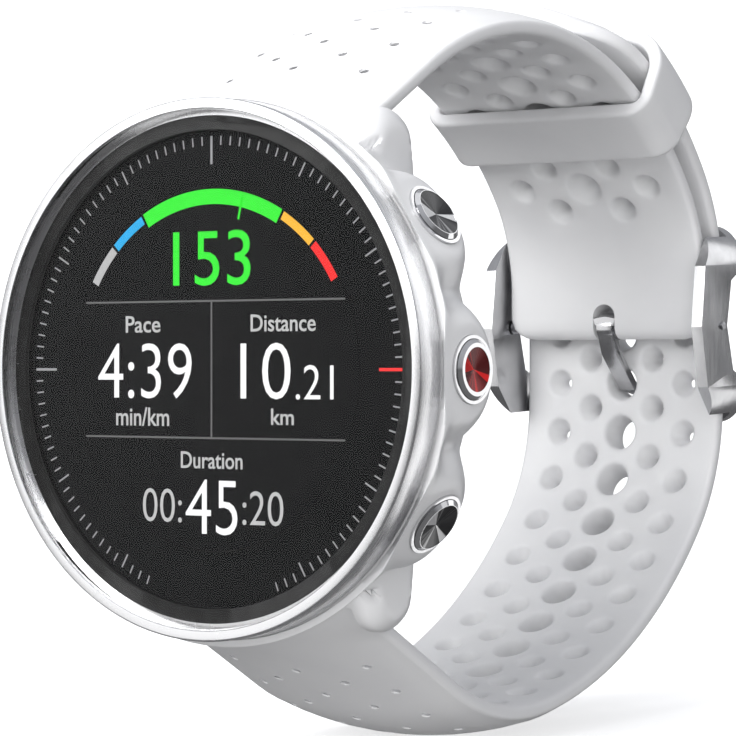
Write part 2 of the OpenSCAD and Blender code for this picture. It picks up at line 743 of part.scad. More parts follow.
// The buckle strap: from the upper lug over the wrist down to the buckle bar.
upper_first_s = 5.8;
upper_rows = 22;
module upper_strap() {
    end = chain_end(upper_start, upper_runs, 4);
    color("white") side_view() difference() {
        union() {
            difference() {
                ribbon(upper_start, upper_runs);
                translate([end[0] + 2 * bar_in, end[1] - 1, -20]) cube([5, 6, 40]);
                translate([end[0] - 1, end[1] - 1, -20]) cube([9, buckle_z - end[1] + 1, 40]);
            }
            lug_end(upper_start);
            translate([buckle_y, buckle_z, -strap_w / 2]) cylinder(r = bar_in, h = strap_w);
            translate([end[0], buckle_z - bar_in, -strap_w / 2]) cube([bar_in, bar_in, strap_w]);
        }
        for (i = [0:upper_rows - 1])
            perforation_row(
                along(upper_start, upper_runs, upper_first_s + i * upper_pitch / 2), i % 2 == 0, side_out_d
            );
        translate([buckle_y, buckle_z, -20]) cylinder(d = pin_d + 0.06, h = 40);
        translate([end[0] - 1, buckle_z - 4, -slot_w / 2]) cube([9, 5, slot_w]);
        translate([end[0] - 1, buckle_z + 1, 0]) rotate([0, 90, 0]) cylinder(d = slot_w, h = 9);
        translate([end[0] + 2, buckle_z - bar_in, 0]) rotate([0, 0, -90]) corner_cut(strap_w, 2.6);
    }
}

// The tail strap: from the lower lug under the wrist, through the buckle and the keeper.
lower_first_s = first_mid_s - floor((first_mid_s - 5.8) / hole_pitch) * hole_pitch;
lower_rows = floor((lower_len - 9 - lower_first_s) / hole_pitch * 2);
adjust_from = 12;
module lower_strap() {
    tip = chain_end(lower_start, lower_runs, 7);
    color("white") mirror([0, 0, 1]) side_view() difference() {
        union() {
            ribbon(lower_start, lower_runs);
            lug_end(lower_start);
        }
        for (i = [0:lower_rows - 1])
            perforation_row(
                along(lower_start, lower_runs, lower_first_s + i * hole_pitch / 2), i % 2 == 0,
                i < adjust_from ? side_out_d : mid_out_d
            );
        translate([tip[0], tip[1], 0]) rotate([0, 0, tip[2]]) corner_cut(strap_w, 9);
    }
}

// The keeper: a loop round both layers, centred on the long bend.
module keeper() {
    stack = layer + strap_t + 2 * keeper_gap;
    a = keeper_l / bend_r * 180 / PI;
    w = strap_w + 2 * keeper_gap;
    color("white") side_view() translate([bend_c[0], bend_c[1], 0]) rotate([0, 0, keeper_mid_a - a / 2])
        rotate_extrude(angle = a, $fn = 180) translate([bend_r - keeper_gap + stack / 2, 0]) difference() {
            round_rect(stack + 2 * keeper_wall, w + 2 * keeper_wall, 2);
            round_rect(stack, w, 0.6);
        }
}

// The buckle frame: a rounded ring seen from behind, bent to a shallow V in the side view.
side_in = 4.2;
corner_h = 4.2;
frame_r = 4;
module frame_side() {
    top = buckle_h / 2;
    rear = crossbar_y + 0.2;
    for (up = [0, 1]) mirror([0, up]) polygon([
        [buckle_y - side_in, -e], [buckle_y - side_in + 1, 0.6 * top], [buckle_y - 0.8, 0.9 * top],
        [rear - 2.6, top], [rear - 0.9, top], [rear - 0.9, top - corner_h], [buckle_y + 2.2, 0.45 * top],
        [buckle_y + 1.1, -e]
    ]);
}
module buckle_frame() {
    top = buckle_h / 2;
    arch_r = dome_r + crossbar_gap;
    inner_x = buckle_w / 2 - buckle_t;
    color("silver") translate([0, buckle_y, buckle_z]) rotate([buckle_tilt, 0, 0])
    translate([0, -buckle_y, 0]) difference() {
        intersection() {
            translate([0, 40, 0]) rotate([-90, 0, 0]) linear_extrude(40) difference() {
                round_rect(buckle_w, buckle_h, frame_r);
                round_rect(2 * inner_x, buckle_h - 2 * crossbar_h, frame_r - buckle_t);
            }
            union() {
                for (side = [0, 1]) mirror([side, 0, 0]) side_view() translate([0, 0, inner_x])
                    linear_extrude(9) frame_side();
                for (up = [0, 1]) mirror([0, 0, up]) translate([0, crossbar_y - arch_r, top - corner_h])
                    ring(arch_r + crossbar_t, arch_r, corner_h);
            }
        }
        translate([0, buckle_y, 0]) rotate([0, 90, 0])
            cylinder(d = tip_d + 2 * tip_fit, h = 40, center = true);
    }
}

// The tongue: an eye round the bar and a bent arm through the tail's hole to the lower crossbar.
function heading(p, q) = atan2(q[1] - p[1], q[0] - p[0]);
function mitre(points, i, half) = let (
    before = heading(points[max(i, 1) - 1], points[max(i, 1)]),
    after = heading(points[min(i, len(points) - 2)], points[min(i, len(points) - 2) + 1])
) points[i] + half / cos((after - before) / 2) * dir((before + after) / 2 + 90);
module band(points, t) {
    polygon(concat(
        [for (i = [0:len(points) - 1]) mitre(points, i, t / 2)],
        [for (i = [len(points) - 1:-1:0]) mitre(points, i, -t / 2)]
    ));
}
module buckle_tongue() {
    eye = [buckle_y, buckle_z];
    knee = eye + [0.1, -2.6];
    hole = [crown_y - strap_t / 2 - 0.25, buckle_hole_z - 0.25];
    rest = [crossbar_y + crossbar_t * 0.8, buckle_hole_z - 0.85];
    color("silver") side_view() translate([0, 0, -tongue_w / 2]) linear_extrude(tongue_w) difference() {
        union() {
            translate(eye) circle(d = pin_d + 1.3);
            band([eye + [-0.75, -0.3], knee, hole, rest], tongue_t);
        }
        translate(eye) circle(d = pin_d + 0.08);
    }
}

// Spring bars: a tube with a tip sliding in each end and a spring between the tips.
module bar_tube(y, z, l, d) {
    color("gray") translate([-l / 2, y, z]) rotate([0, 90, 0]) ring(d / 2, tip_bore(d) / 2, l);
}
function tip_bore(d) = d - 2 * tube_wall;
module bar_tip(y, z, l, d, side) {
    color("lightgray") translate([0, y, z]) rotate([0, 90 * side, 0]) {
        translate([0, 0, l / 2 - e]) cylinder(d = tip_d, h = tip_l + e);
        translate([0, 0, l / 2 - tip_inside]) cylinder(d = tip_bore(d) - 2 * tip_fit, h = tip_inside);
    }
}
module bar_spring(y, z, l, d) {
    room = l - 2 * tip_inside;
    color("gray") translate([-room / 2, y, z]) rotate([0, 90, 0])
        coil(tip_bore(d) / 2 - 0.2, 0.2, room, 8);
}
bar_l = lug_gap - 0.3;
pin_l = buckle_w - 2 * buckle_t - 0.3;

case_body();
bezel();
lens();
lens_gasket();
dial_ring();
display_module();
display_flex();
inner_frame();
main_board();
board_components();
battery();
gps_antenna();
vibration_motor();
rear_cover();
rear_gasket();
rear_screws();
sensor_window();
sensor_board();
sensor_leds();
charge_contacts();
button_collars();
button_seals();
button_switches();
button_cap(ANGLES[0], insert_d);  // up_button_cap
button_insert(ANGLES[0], insert_d, "silver");  // up_button_insert
button_spring(ANGLES[0]);  // up_button_spring
button_clip(ANGLES[0]);  // up_button_clip
button_cap(ANGLES[1], ok_insert_d);  // ok_button_cap
button_insert(ANGLES[1], ok_insert_d, "red");  // ok_button_insert
button_spring(ANGLES[1]);  // ok_button_spring
button_clip(ANGLES[1]);  // ok_button_clip
button_cap(ANGLES[2], insert_d);  // down_button_cap
button_insert(ANGLES[2], insert_d, "silver");  // down_button_insert
button_spring(ANGLES[2]);  // down_button_spring
button_clip(ANGLES[2]);  // down_button_clip
button_cap(ANGLES[3], insert_d);  // light_button_cap
button_insert(ANGLES[3], insert_d, "silver");  // light_button_insert
button_spring(ANGLES[3]);  // light_button_spring
button_clip(ANGLES[3]);  // light_button_clip
button_cap(ANGLES[4], insert_d);  // back_button_cap
button_insert(ANGLES[4], insert_d, "silver");  // back_button_insert
button_spring(ANGLES[4]);  // back_button_spring
button_clip(ANGLES[4]);  // back_button_clip
upper_strap();
lower_strap();
keeper();
buckle_frame();
buckle_tongue();
bar_tube(lug_y, lug_out, bar_l, bar_d);  // upper_bar_tube
bar_spring(lug_y, lug_out, bar_l, bar_d);  // upper_bar_spring
bar_tip(lug_y, lug_out, bar_l, bar_d, 1);  // upper_bar_tip_right
bar_tip(lug_y, lug_out, bar_l, bar_d, -1);  // upper_bar_tip_left
bar_tube(lug_y, -lug_out, bar_l, bar_d);  // lower_bar_tube
bar_spring(lug_y, -lug_out, bar_l, bar_d);  // lower_bar_spring
bar_tip(lug_y, -lug_out, bar_l, bar_d, 1);  // lower_bar_tip_right
bar_tip(lug_y, -lug_out, bar_l, bar_d, -1);  // lower_bar_tip_left
bar_tube(buckle_y, buckle_z, pin_l, pin_d);  // buckle_bar_tube
bar_spring(buckle_y, buckle_z, pin_l, pin_d);  // buckle_bar_spring
bar_tip(buckle_y, buckle_z, pin_l, pin_d, 1);  // buckle_bar_tip_right
bar_tip(buckle_y, buckle_z, pin_l, pin_d, -1);  // buckle_bar_tip_left
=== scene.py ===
import bpy, bmesh, math, random
from mathutils import Matrix, Vector


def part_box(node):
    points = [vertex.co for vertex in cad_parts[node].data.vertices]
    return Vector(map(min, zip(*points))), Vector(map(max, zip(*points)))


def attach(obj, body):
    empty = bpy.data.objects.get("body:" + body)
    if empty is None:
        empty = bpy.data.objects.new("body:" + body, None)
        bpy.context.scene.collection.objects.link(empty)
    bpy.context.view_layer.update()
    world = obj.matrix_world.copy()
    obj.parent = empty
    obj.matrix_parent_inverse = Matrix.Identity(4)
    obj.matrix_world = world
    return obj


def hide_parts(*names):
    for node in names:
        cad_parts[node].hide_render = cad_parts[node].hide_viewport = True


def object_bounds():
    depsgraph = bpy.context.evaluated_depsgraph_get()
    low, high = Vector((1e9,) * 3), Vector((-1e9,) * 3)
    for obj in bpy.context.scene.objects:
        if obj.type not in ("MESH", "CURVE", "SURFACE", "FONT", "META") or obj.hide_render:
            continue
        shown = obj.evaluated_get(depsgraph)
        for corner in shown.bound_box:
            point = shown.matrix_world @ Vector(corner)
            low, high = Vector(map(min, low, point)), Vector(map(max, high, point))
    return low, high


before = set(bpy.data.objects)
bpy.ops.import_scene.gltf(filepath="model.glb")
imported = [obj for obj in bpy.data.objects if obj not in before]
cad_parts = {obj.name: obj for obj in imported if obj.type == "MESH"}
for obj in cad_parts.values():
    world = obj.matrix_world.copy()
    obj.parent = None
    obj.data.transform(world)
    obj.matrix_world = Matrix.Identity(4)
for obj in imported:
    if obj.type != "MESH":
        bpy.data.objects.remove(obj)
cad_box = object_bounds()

# Stand, light and camera.
# A pale studio sweep under the watch, soft white panels round it, and the camera level with the dial.
MM = 0.001
scene = bpy.context.scene
scene.view_settings.view_transform = "Standard"
scene.view_settings.look = "None"
low, high = cad_box
mid = (Vector(low) + Vector(high)) / 2


def new_material(name, colour, rough=0.5, metal=0.0, **sockets):
    mat = bpy.data.materials.new(name)
    mat.use_nodes = True
    shader = mat.node_tree.nodes["Principled BSDF"]
    shader.inputs["Base Color"].default_value = (*colour, 1)
    shader.inputs["Roughness"].default_value = rough
    shader.inputs["Metallic"].default_value = metal
    for key, value in sockets.items():
        shader.inputs[key.replace("_", " ")].default_value = value
    return mat


def noise_of(mat, scale, detail=3.0, stretch=(1, 1, 1)):
    nodes, links = mat.node_tree.nodes, mat.node_tree.links
    place = nodes.new("ShaderNodeTexCoord")
    turn = nodes.new("ShaderNodeMapping")
    turn.inputs["Scale"].default_value = stretch
    noise = nodes.new("ShaderNodeTexNoise")
    noise.inputs["Scale"].default_value = scale
    noise.inputs["Detail"].default_value = detail
    links.new(place.outputs["Object"], turn.inputs["Vector"])
    links.new(turn.outputs["Vector"], noise.inputs["Vector"])
    return noise.outputs["Fac"]


def vary_colour(mat, fac, dark, light, start=0.35, end=0.65):
    nodes, links = mat.node_tree.nodes, mat.node_tree.links
    ramp = nodes.new("ShaderNodeValToRGB")
    ramp.color_ramp.elements[0].position = start
    ramp.color_ramp.elements[0].color = (*dark, 1)
    ramp.color_ramp.elements[1].position = end
    ramp.color_ramp.elements[1].color = (*light, 1)
    links.new(fac, ramp.inputs["Fac"])
    links.new(ramp.outputs["Color"], nodes["Principled BSDF"].inputs["Base Color"])
    return ramp


def vary_rough(mat, fac, lowest, highest):
    nodes, links = mat.node_tree.nodes, mat.node_tree.links
    span = nodes.new("ShaderNodeMapRange")
    span.inputs["To Min"].default_value = lowest
    span.inputs["To Max"].default_value = highest
    links.new(fac, span.inputs["Value"])
    links.new(span.outputs["Result"], nodes["Principled BSDF"].inputs["Roughness"])


def bump(mat, fac, strength, depth):
    nodes, links = mat.node_tree.nodes, mat.node_tree.links
    relief = nodes.new("ShaderNodeBump")
    relief.inputs["Strength"].default_value = strength
    relief.inputs["Distance"].default_value = depth
    links.new(fac, relief.inputs["Height"])
    links.new(relief.outputs["Normal"], nodes["Principled BSDF"].inputs["Normal"])


floor_bm = bmesh.new()
bmesh.ops.create_grid(floor_bm, x_segments=1, y_segments=30, size=1.0)
for v in floor_bm.verts:
    run = (v.co.y + 1) * 0.75 - 0.45
    bend = max(0.0, min(1.0, (run - 0.25) / 0.35)) * math.pi / 2
    v.co = Vector((v.co.x * 1.6, min(run, 0.25) + 0.22 * math.sin(bend),
                   low[2] - 0.0002 + 0.22 * (1 - math.cos(bend)) + max(0.0, run - 0.6)))
bmesh.ops.rotate(floor_bm, verts=floor_bm.verts, cent=mid, matrix=Matrix.Rotation(math.radians(35.4), 3, "Z"))
floor_mesh = bpy.data.meshes.new("studio_floor")
floor_bm.to_mesh(floor_mesh)
floor_bm.free()
floor_mesh.shade_smooth()
floor_obj = bpy.data.objects.new("studio_floor", floor_mesh)
scene.collection.objects.link(floor_obj)
paper = new_material("pale_paper", (0.93, 0.93, 0.93), 0.9, Emission_Strength=0.55)
paper.node_tree.nodes["Principled BSDF"].inputs["Emission Color"].default_value = (1, 1, 1, 1)
vary_colour(paper, noise_of(paper, 8), (0.92, 0.92, 0.925), (0.94, 0.94, 0.94))
nodes, links = paper.node_tree.nodes, paper.node_tree.links
behind = nodes.new("ShaderNodeNewGeometry")
clear = nodes.new("ShaderNodeBsdfTransparent")
one_sided = nodes.new("ShaderNodeMixShader")
links.new(behind.outputs["Backfacing"], one_sided.inputs["Fac"])
links.new(nodes["Principled BSDF"].outputs["BSDF"], one_sided.inputs[1])
links.new(clear.outputs["BSDF"], one_sided.inputs[2])
links.new(one_sided.outputs["Shader"], nodes["Material Output"].inputs["Surface"])
floor_mesh.materials.append(paper)
floor_obj.visible_glossy = False
floor_obj.visible_diffuse = False

world = bpy.data.worlds.new("soft_room")
scene.world = world
world.use_nodes = True
nodes, links = world.node_tree.nodes, world.node_tree.links
nodes["Background"].inputs["Strength"].default_value = 1.0
look_at = nodes.new("ShaderNodeTexCoord")
height = nodes.new("ShaderNodeSeparateXYZ")
sky = nodes.new("ShaderNodeValToRGB")
sky.color_ramp.elements[0].position = 0.42
sky.color_ramp.elements[0].color = (0.16, 0.16, 0.165, 1)
sky.color_ramp.elements[1].position = 0.9
sky.color_ramp.elements[1].color = (0.46, 0.47, 0.50, 1)
sky.color_ramp.elements.new(0.49).color = (0.14, 0.14, 0.145, 1)
sky.color_ramp.elements.new(0.56).color = (0.34, 0.345, 0.36, 1)
level = nodes.new("ShaderNodeMapRange")
level.inputs["From Min"].default_value = -1
links.new(look_at.outputs["Generated"], height.inputs["Vector"])
links.new(height.outputs["Z"], level.inputs["Value"])
links.new(level.outputs["Result"], sky.inputs["Fac"])
links.new(sky.outputs["Color"], nodes["Background"].inputs["Color"])


def panel(name, at, size, watts, diffuse=True, glossy=True):
    lamp = bpy.data.lights.new(name, "AREA")
    lamp.shape = "RECTANGLE"
    lamp.size, lamp.size_y = size
    lamp.energy = watts
    obj = bpy.data.objects.new(name, lamp)
    obj.location = at
    obj.rotation_euler = (mid - Vector(at)).to_track_quat("-Z", "Y").to_euler()
    obj.visible_diffuse, obj.visible_glossy = diffuse, glossy
    scene.collection.objects.link(obj)


ahead = Vector((-0.5795, 0.8150, 0))
right = Vector((0.8150, 0.5795, 0))
panel("key_panel", mid - 0.36 * ahead - 0.36 * right + Vector((0, 0, 0.30)), (0.45, 0.45), 4.1)
panel("top_panel", mid + 0.05 * ahead + Vector((0, 0, 0.60)), (0.6, 0.6), 0.5)
panel("side_panel", mid + 0.55 * right - 0.1 * ahead + Vector((0, 0, 0.16)), (0.22, 0.40), 0.12)
for name, along, up, size in (("rim_panel", 0.10, 0, (0.13, 0.70)),
                              ("rim_panel_high", -0.05, 0.22, (0.18, 0.32)),
                              ("rim_panel_low", -0.05, -0.22, (0.18, 0.32))):
    at = mid + Vector((0.27 + 0.876 * along, 0.49 - 0.483 * along, up))
    panel(name, at, size, 3.6 * size[0] * size[1], diffuse=False)
panel("front_fill", mid - 0.60 * ahead + 0.10 * right + Vector((0, 0, 0.05)), (0.5, 0.5), 1.1, glossy=False)
panel("face_panel", mid + Vector((-0.35, -0.49, 0)), (0.36, 0.60), 0.75, diffuse=False)
panel("low_fill", mid - 0.45 * ahead - 0.10 * right - Vector((0, 0, 0.34)), (0.5, 0.5), 1.9, glossy=False)

dial_centre = Vector((0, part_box("lens")[0][1], 0))
camera = bpy.data.cameras.new("camera")
camera.lens = 142.8
camera.sensor_width = 36
camera.clip_start, camera.clip_end = 0.01, 10
camera_obj = bpy.data.objects.new("camera", camera)
camera_obj.location = dial_centre - 0.24719 * ahead + 0.01454 * right + Vector((0, 0, 0.000127))
camera_obj.rotation_euler = ahead.to_track_quat("-Z", "Y").to_euler()
scene.collection.objects.link(camera_obj)
scene.camera = camera_obj

# Upper and lower straps.
# Soft silicone ribbons, flat to the wrist and domed outside, moulded in one piece each with their
# perforations, which are wide at the wrist and narrow outside.
STRAP_W, STRAP_T, STRAP_EDGE = 23.0, 3.4, 1.4
STRAP_DOME = (STRAP_W ** 2 / 4 + (STRAP_T - STRAP_EDGE) ** 2) / (2 * (STRAP_T - STRAP_EDGE))
LUG_W = 24.7
LUG = (-3.9, 19.2)


def heading(angle):
    return Vector((math.cos(math.radians(angle)), math.sin(math.radians(angle))))


def lug_start(slope):
    return (*(Vector(LUG) + 2.45 * heading(slope) + 0.4 * heading(slope + 90)), slope)


def run_end(station, run):
    y, z, h = station
    if run[1] == 0:
        end = Vector((y, z)) + run[0] * heading(h)
        return end[0], end[1], h
    r = run[0] / math.radians(run[1])
    end = Vector((y, z)) - r * heading(h + 90) + r * heading(h - run[1] + 90)
    return end[0], end[1], h - run[1]


def station_at(start, runs, s):
    at = start
    for i, run in enumerate(runs):
        if s <= run[0] or i == len(runs) - 1:
            return run_end(at, (s, run[1] * s / run[0]))
        at = run_end(at, run)
        s -= run[0]


UPPER = (lug_start(31.2), [(9.9, 0), (math.radians(83.6) * 34.3, 83.6), (math.radians(37.6) * 15.6, 37.6),
                           (5.6, 0)])
LOWER = (lug_start(29.6), [(14.344, 0), (15.306, 37.8), (32.521, 39.9), (13.639, 41.9), (11.154, 0),
                           (12.534, 37.6), (24.410, 37)])


def cross_cuts(first, last, step=1.5, ease=4.0):
    cuts, s = [], first
    while s < last:
        near = min(s - first, last - s) / ease
        s += step * max(0.12, min(1.0, 0.12 + near))
        if s < last:
            cuts.append(s)
    return cuts


def slice_at(bm, at, along):
    bmesh.ops.bisect_plane(bm, geom=bm.verts[:] + bm.edges[:] + bm.faces[:], plane_co=at, plane_no=along)


def flat_strap(first, last):
    bm = bmesh.new()
    bmesh.ops.create_cube(bm, size=1)
    for v in bm.verts:
        v.co = Vector((v.co.x * STRAP_W, (first + last) / 2 + v.co.y * (last - first),
                       STRAP_T * (v.co.z + 0.5)))
    for s in cross_cuts(first, last):
        slice_at(bm, (0, s, 0), (0, 1, 0))
    for x in [k * 2.1 for k in range(-5, 6)]:
        slice_at(bm, (x, 0, 0), (1, 0, 0))
    for v in bm.verts:
        if v.co.z > 0.1:
            v.co.z = STRAP_T - STRAP_DOME + math.sqrt(STRAP_DOME ** 2 - v.co.x ** 2)
    rails = [e for e in bm.edges if all(abs(abs(v.co.x) - STRAP_W / 2) < 0.01 for v in e.verts)
             and abs(e.verts[0].co.z - e.verts[1].co.z) < 0.01
             and abs(e.verts[0].co.y - e.verts[1].co.y) > 0.01]
    bmesh.ops.bevel(bm, geom=rails, offset=0.5, segments=4, profile=0.5, affect="EDGES", material=-1)
    return bm


def add_to(bm, other):
    """Adds another mesh to this one, and frees it."""
    made = bpy.data.meshes.new("part")
    other.to_mesh(made)
    other.free()
    bm.from_mesh(made)
    bpy.data.meshes.remove(made)


def add_turned(bm, rows, steps, place):
    """Adds a solid turned round Z from its (radius, height) rows, moved to its place."""
    tool = bmesh.new()
    chain = [tool.verts.new((r, 0, n)) for r, n in rows]
    edges = [tool.edges.new(pair) for pair in zip(chain, chain[1:])]
    bmesh.ops.spin(tool, geom=chain + edges, cent=(0, 0, 0), axis=(0, 0, 1), angle=math.tau, steps=steps,
                   use_merge=True)
    bmesh.ops.remove_doubles(tool, verts=tool.verts, dist=1e-4)
    bmesh.ops.transform(tool, verts=tool.verts, matrix=place)
    add_to(bm, tool)


def perforation(bm, x, s, d_in, d_out):
    """A cutter with a soft flare at both mouths."""
    depth = STRAP_T - STRAP_DOME + math.sqrt(STRAP_DOME ** 2 - x ** 2)
    slope = (d_out - d_in) / 2 / STRAP_T
    wide, edge = d_in / 2, d_out / 2
    rows = [(0, -0.3), (wide + 0.11, -0.3), (wide + 0.1, 0.0), (wide - 0.12, 0.05), (wide - 0.28, 0.17),
            (wide - 0.38, 0.38), (max(edge + 0.02, wide - 0.36 + slope * 0.9), 0.9),
            (edge - slope * 0.3, depth - 0.3), (edge + 0.01, depth - 0.1), (edge + 0.07, depth),
            (edge + 0.08, depth + 0.4), (0, depth + 0.4)]
    add_turned(bm, rows, 24, Matrix.Translation((x, s, 0)))


def cut(bm, cutters):
    """Takes the cutters out of a mesh, both drawn flat."""
    objs = []
    for name, source in (("cut_base", bm), ("cut_tool", cutters)):
        bmesh.ops.recalc_face_normals(source, faces=source.faces)
        mesh = bpy.data.meshes.new(name)
        source.to_mesh(mesh)
        source.free()
        obj = bpy.data.objects.new(name, mesh)
        scene.collection.objects.link(obj)
        objs.append(obj)
    mod = objs[0].modifiers.new("cut", "BOOLEAN")
    mod.operation, mod.solver, mod.object = "DIFFERENCE", "MANIFOLD", objs[1]
    result = bpy.data.meshes.new_from_object(objs[0].evaluated_get(bpy.context.evaluated_depsgraph_get()))
    out = bmesh.new()
    out.from_mesh(result)
    for obj in objs:
        mesh = obj.data
        bpy.data.objects.remove(obj)
        bpy.data.meshes.remove(mesh)
    bpy.data.meshes.remove(result)
    return out


def piece(name, bm, mat, body, slot, *stands_for, sharp=35.0):
    """Makes the finished object from a mesh drawn in millimetres, and puts it on its body."""
    for v in bm.verts:
        v.co *= MM
    mesh = bpy.data.meshes.new(name)
    bm.to_mesh(mesh)
    bm.free()
    mesh.shade_smooth()
    mesh.set_sharp_from_angle(angle=math.radians(sharp))
    mesh.materials.append(mat)
    obj = bpy.data.objects.new(name, mesh)
    scene.collection.objects.link(obj)
    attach(obj, body)
    if stands_for:
        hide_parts(*stands_for)
    return obj


def bend(bm, strap, flip):
    for v in bm.verts:
        y, z, h = station_at(*strap, v.co.y)
        at = Vector((y, z)) + v.co.z * heading(h + 90)
        v.co = Vector((v.co.x, at[0], -at[1] if flip else at[1]))
    bmesh.ops.recalc_face_normals(bm, faces=bm.faces)


def widen_at_lug(bm):
    for v in bm.verts:
        if v.co.y < 0.6:
            k = max(0.0, min(1.0, (0.6 - v.co.y) / 0.6))
            v.co.x *= 1 + (LUG_W / STRAP_W - 1) * k * k * (3 - 2 * k)


def trim_at_case(bm, flip):
    """The strap's end stops short of the case: under its front flange and before the wall between the lugs."""
    side = -1 if flip else 1
    for at, away in (((0, -7.25, 0), (0, -1, 0)), ((0, 0, 17.52 * side), (0, 0, -side))):
        near = [v for v in bm.verts if v.co.y < 6 and v.co.z * side > 0]
        near += [e for e in bm.edges if all(v.co.y < 6 and v.co.z * side > 0 for v in e.verts)]
        near += [f for f in bm.faces if all(v.co.y < 6 and v.co.z * side > 0 for v in f.verts)]
        got = bmesh.ops.bisect_plane(bm, geom=near, plane_co=at, plane_no=away, clear_outer=True)
        rim = [e for e in got["geom_cut"] if isinstance(e, bmesh.types.BMEdge)]
        if rim:
            bmesh.ops.holes_fill(bm, edges=rim, sides=0)


def barrel(bm, flip):
    """The round roll of silicone that wraps the lug bar."""
    side = -1 if flip else 1
    made = bmesh.ops.create_cone(bm, cap_ends=True, segments=48, radius1=1.68, radius2=1.68, depth=LUG_W - 0.05)
    turn = Matrix.Translation((0, LUG[0], side * LUG[1])) @ Matrix.Rotation(math.pi / 2, 4, "Y")
    bmesh.ops.transform(bm, matrix=turn, verts=made["verts"])


silicone = new_material("white_silicone", (0.84, 0.84, 0.85), 0.5, Sheen_Weight=0.12, Sheen_Roughness=0.4,
                        Specular_IOR_Level=0.35)
vary_colour(silicone, noise_of(silicone, 120, 4), (0.825, 0.825, 0.835), (0.86, 0.86, 0.865))
vary_rough(silicone, noise_of(silicone, 700, 2), 0.44, 0.56)
bump(silicone, noise_of(silicone, 5200, 2), 0.10, 0.00004)

upper_len = sum(run[0] for run in UPPER[1]) - 0.65
lower_len = sum(run[0] for run in LOWER[1])
UPPER_PITCH, LOWER_PITCH, HOLE_X = 5.3, 5.1, 7.4
SIDE_IN, SIDE_OUT, MIDDLE_IN, MIDDLE_OUT = 3.2, 0.8, 4.2, 2.9
FIRST_OPEN_ROW = 12
END_ROUND, TAIL_ROUND = 2.6, 9.0
THIN_L, THIN_T = 5.0, 2.7

strap_bm = flat_strap(-6.0, upper_len)
hole_bm = bmesh.new()
for i in range(22):
    s = 5.8 + i * UPPER_PITCH / 2
    for x in ((-HOLE_X, 0, HOLE_X) if i % 2 == 0 else (-HOLE_X / 2, HOLE_X / 2)):
        perforation(hole_bm, x, s, MIDDLE_IN if x == 0 else SIDE_IN, SIDE_OUT)
slot_made = bmesh.ops.create_cube(hole_bm, size=1)
for v in slot_made["verts"]:
    v.co = Vector((v.co.x * 2.6, upper_len - 2.35 + (v.co.y + 0.5) * 4, v.co.z * 9 + 2))
cap_made = bmesh.ops.create_cone(hole_bm, cap_ends=True, segments=32, radius1=1.3, radius2=1.3, depth=9)
bmesh.ops.translate(hole_bm, verts=cap_made["verts"], vec=(0, upper_len - 2.35, 2.0))
strap_bm = cut(strap_bm, hole_bm)
for v in strap_bm.verts:
    left = upper_len - v.co.y
    if left < END_ROUND and abs(v.co.x) > 2:
        half = STRAP_W / 2 - END_ROUND + math.sqrt(max(0.0, END_ROUND ** 2 - (END_ROUND - left) ** 2))
        v.co.x *= half / (STRAP_W / 2)
    if left < THIN_L:
        k = min(1.0, (THIN_L - left) / (THIN_L - THIN_T / 2))
        thick = STRAP_T + (THIN_T - STRAP_T) * k * k * (3 - 2 * k)
        n = v.co.z / STRAP_T * thick
        nose = THIN_T / 2
        if left < nose:
            n = nose + (n - nose) * max(0.05, math.sqrt(max(0.0, 1 - ((nose - left) / nose) ** 2)))
        v.co.z = n
widen_at_lug(strap_bm)
bend(strap_bm, UPPER, False)
trim_at_case(strap_bm, False)
barrel(strap_bm, False)
piece("upper_strap_skin", strap_bm, silicone, "watch", "strap_silicone", "upper_strap")

strap_bm = flat_strap(-6.0, lower_len)
hole_bm = bmesh.new()
for i in range(42):
    s = 6.0645 + i * LOWER_PITCH / 2
    for x in ((-HOLE_X, 0, HOLE_X) if i % 2 == 0 else (-HOLE_X / 2, HOLE_X / 2)):
        d_out = MIDDLE_OUT if x == 0 and i >= FIRST_OPEN_ROW else SIDE_OUT
        perforation(hole_bm, x, s, MIDDLE_IN if x == 0 else SIDE_IN, d_out)
strap_bm = cut(strap_bm, hole_bm)
for v in strap_bm.verts:
    left = lower_len - v.co.y
    if left < TAIL_ROUND:
        half = STRAP_W / 2 - TAIL_ROUND + math.sqrt(max(0.0, TAIL_ROUND ** 2 - (TAIL_ROUND - left) ** 2))
        v.co.x *= half / (STRAP_W / 2)
widen_at_lug(strap_bm)
bend(strap_bm, LOWER, True)
trim_at_case(strap_bm, True)
barrel(strap_bm, True)
piece("lower_strap_skin", strap_bm, silicone, "watch", "strap_silicone", "lower_strap")

# Keeper.
# A loop of the same silicone that holds the tail, moulded with rounded corners and edges.


def thicken(bm, faces, by):
    """Draws a flat outline out into a solid."""
    grown = bmesh.ops.extrude_face_region(bm, geom=faces)
    bmesh.ops.translate(bm, verts=[g for g in grown["geom"] if isinstance(g, bmesh.types.BMVert)], vec=by)


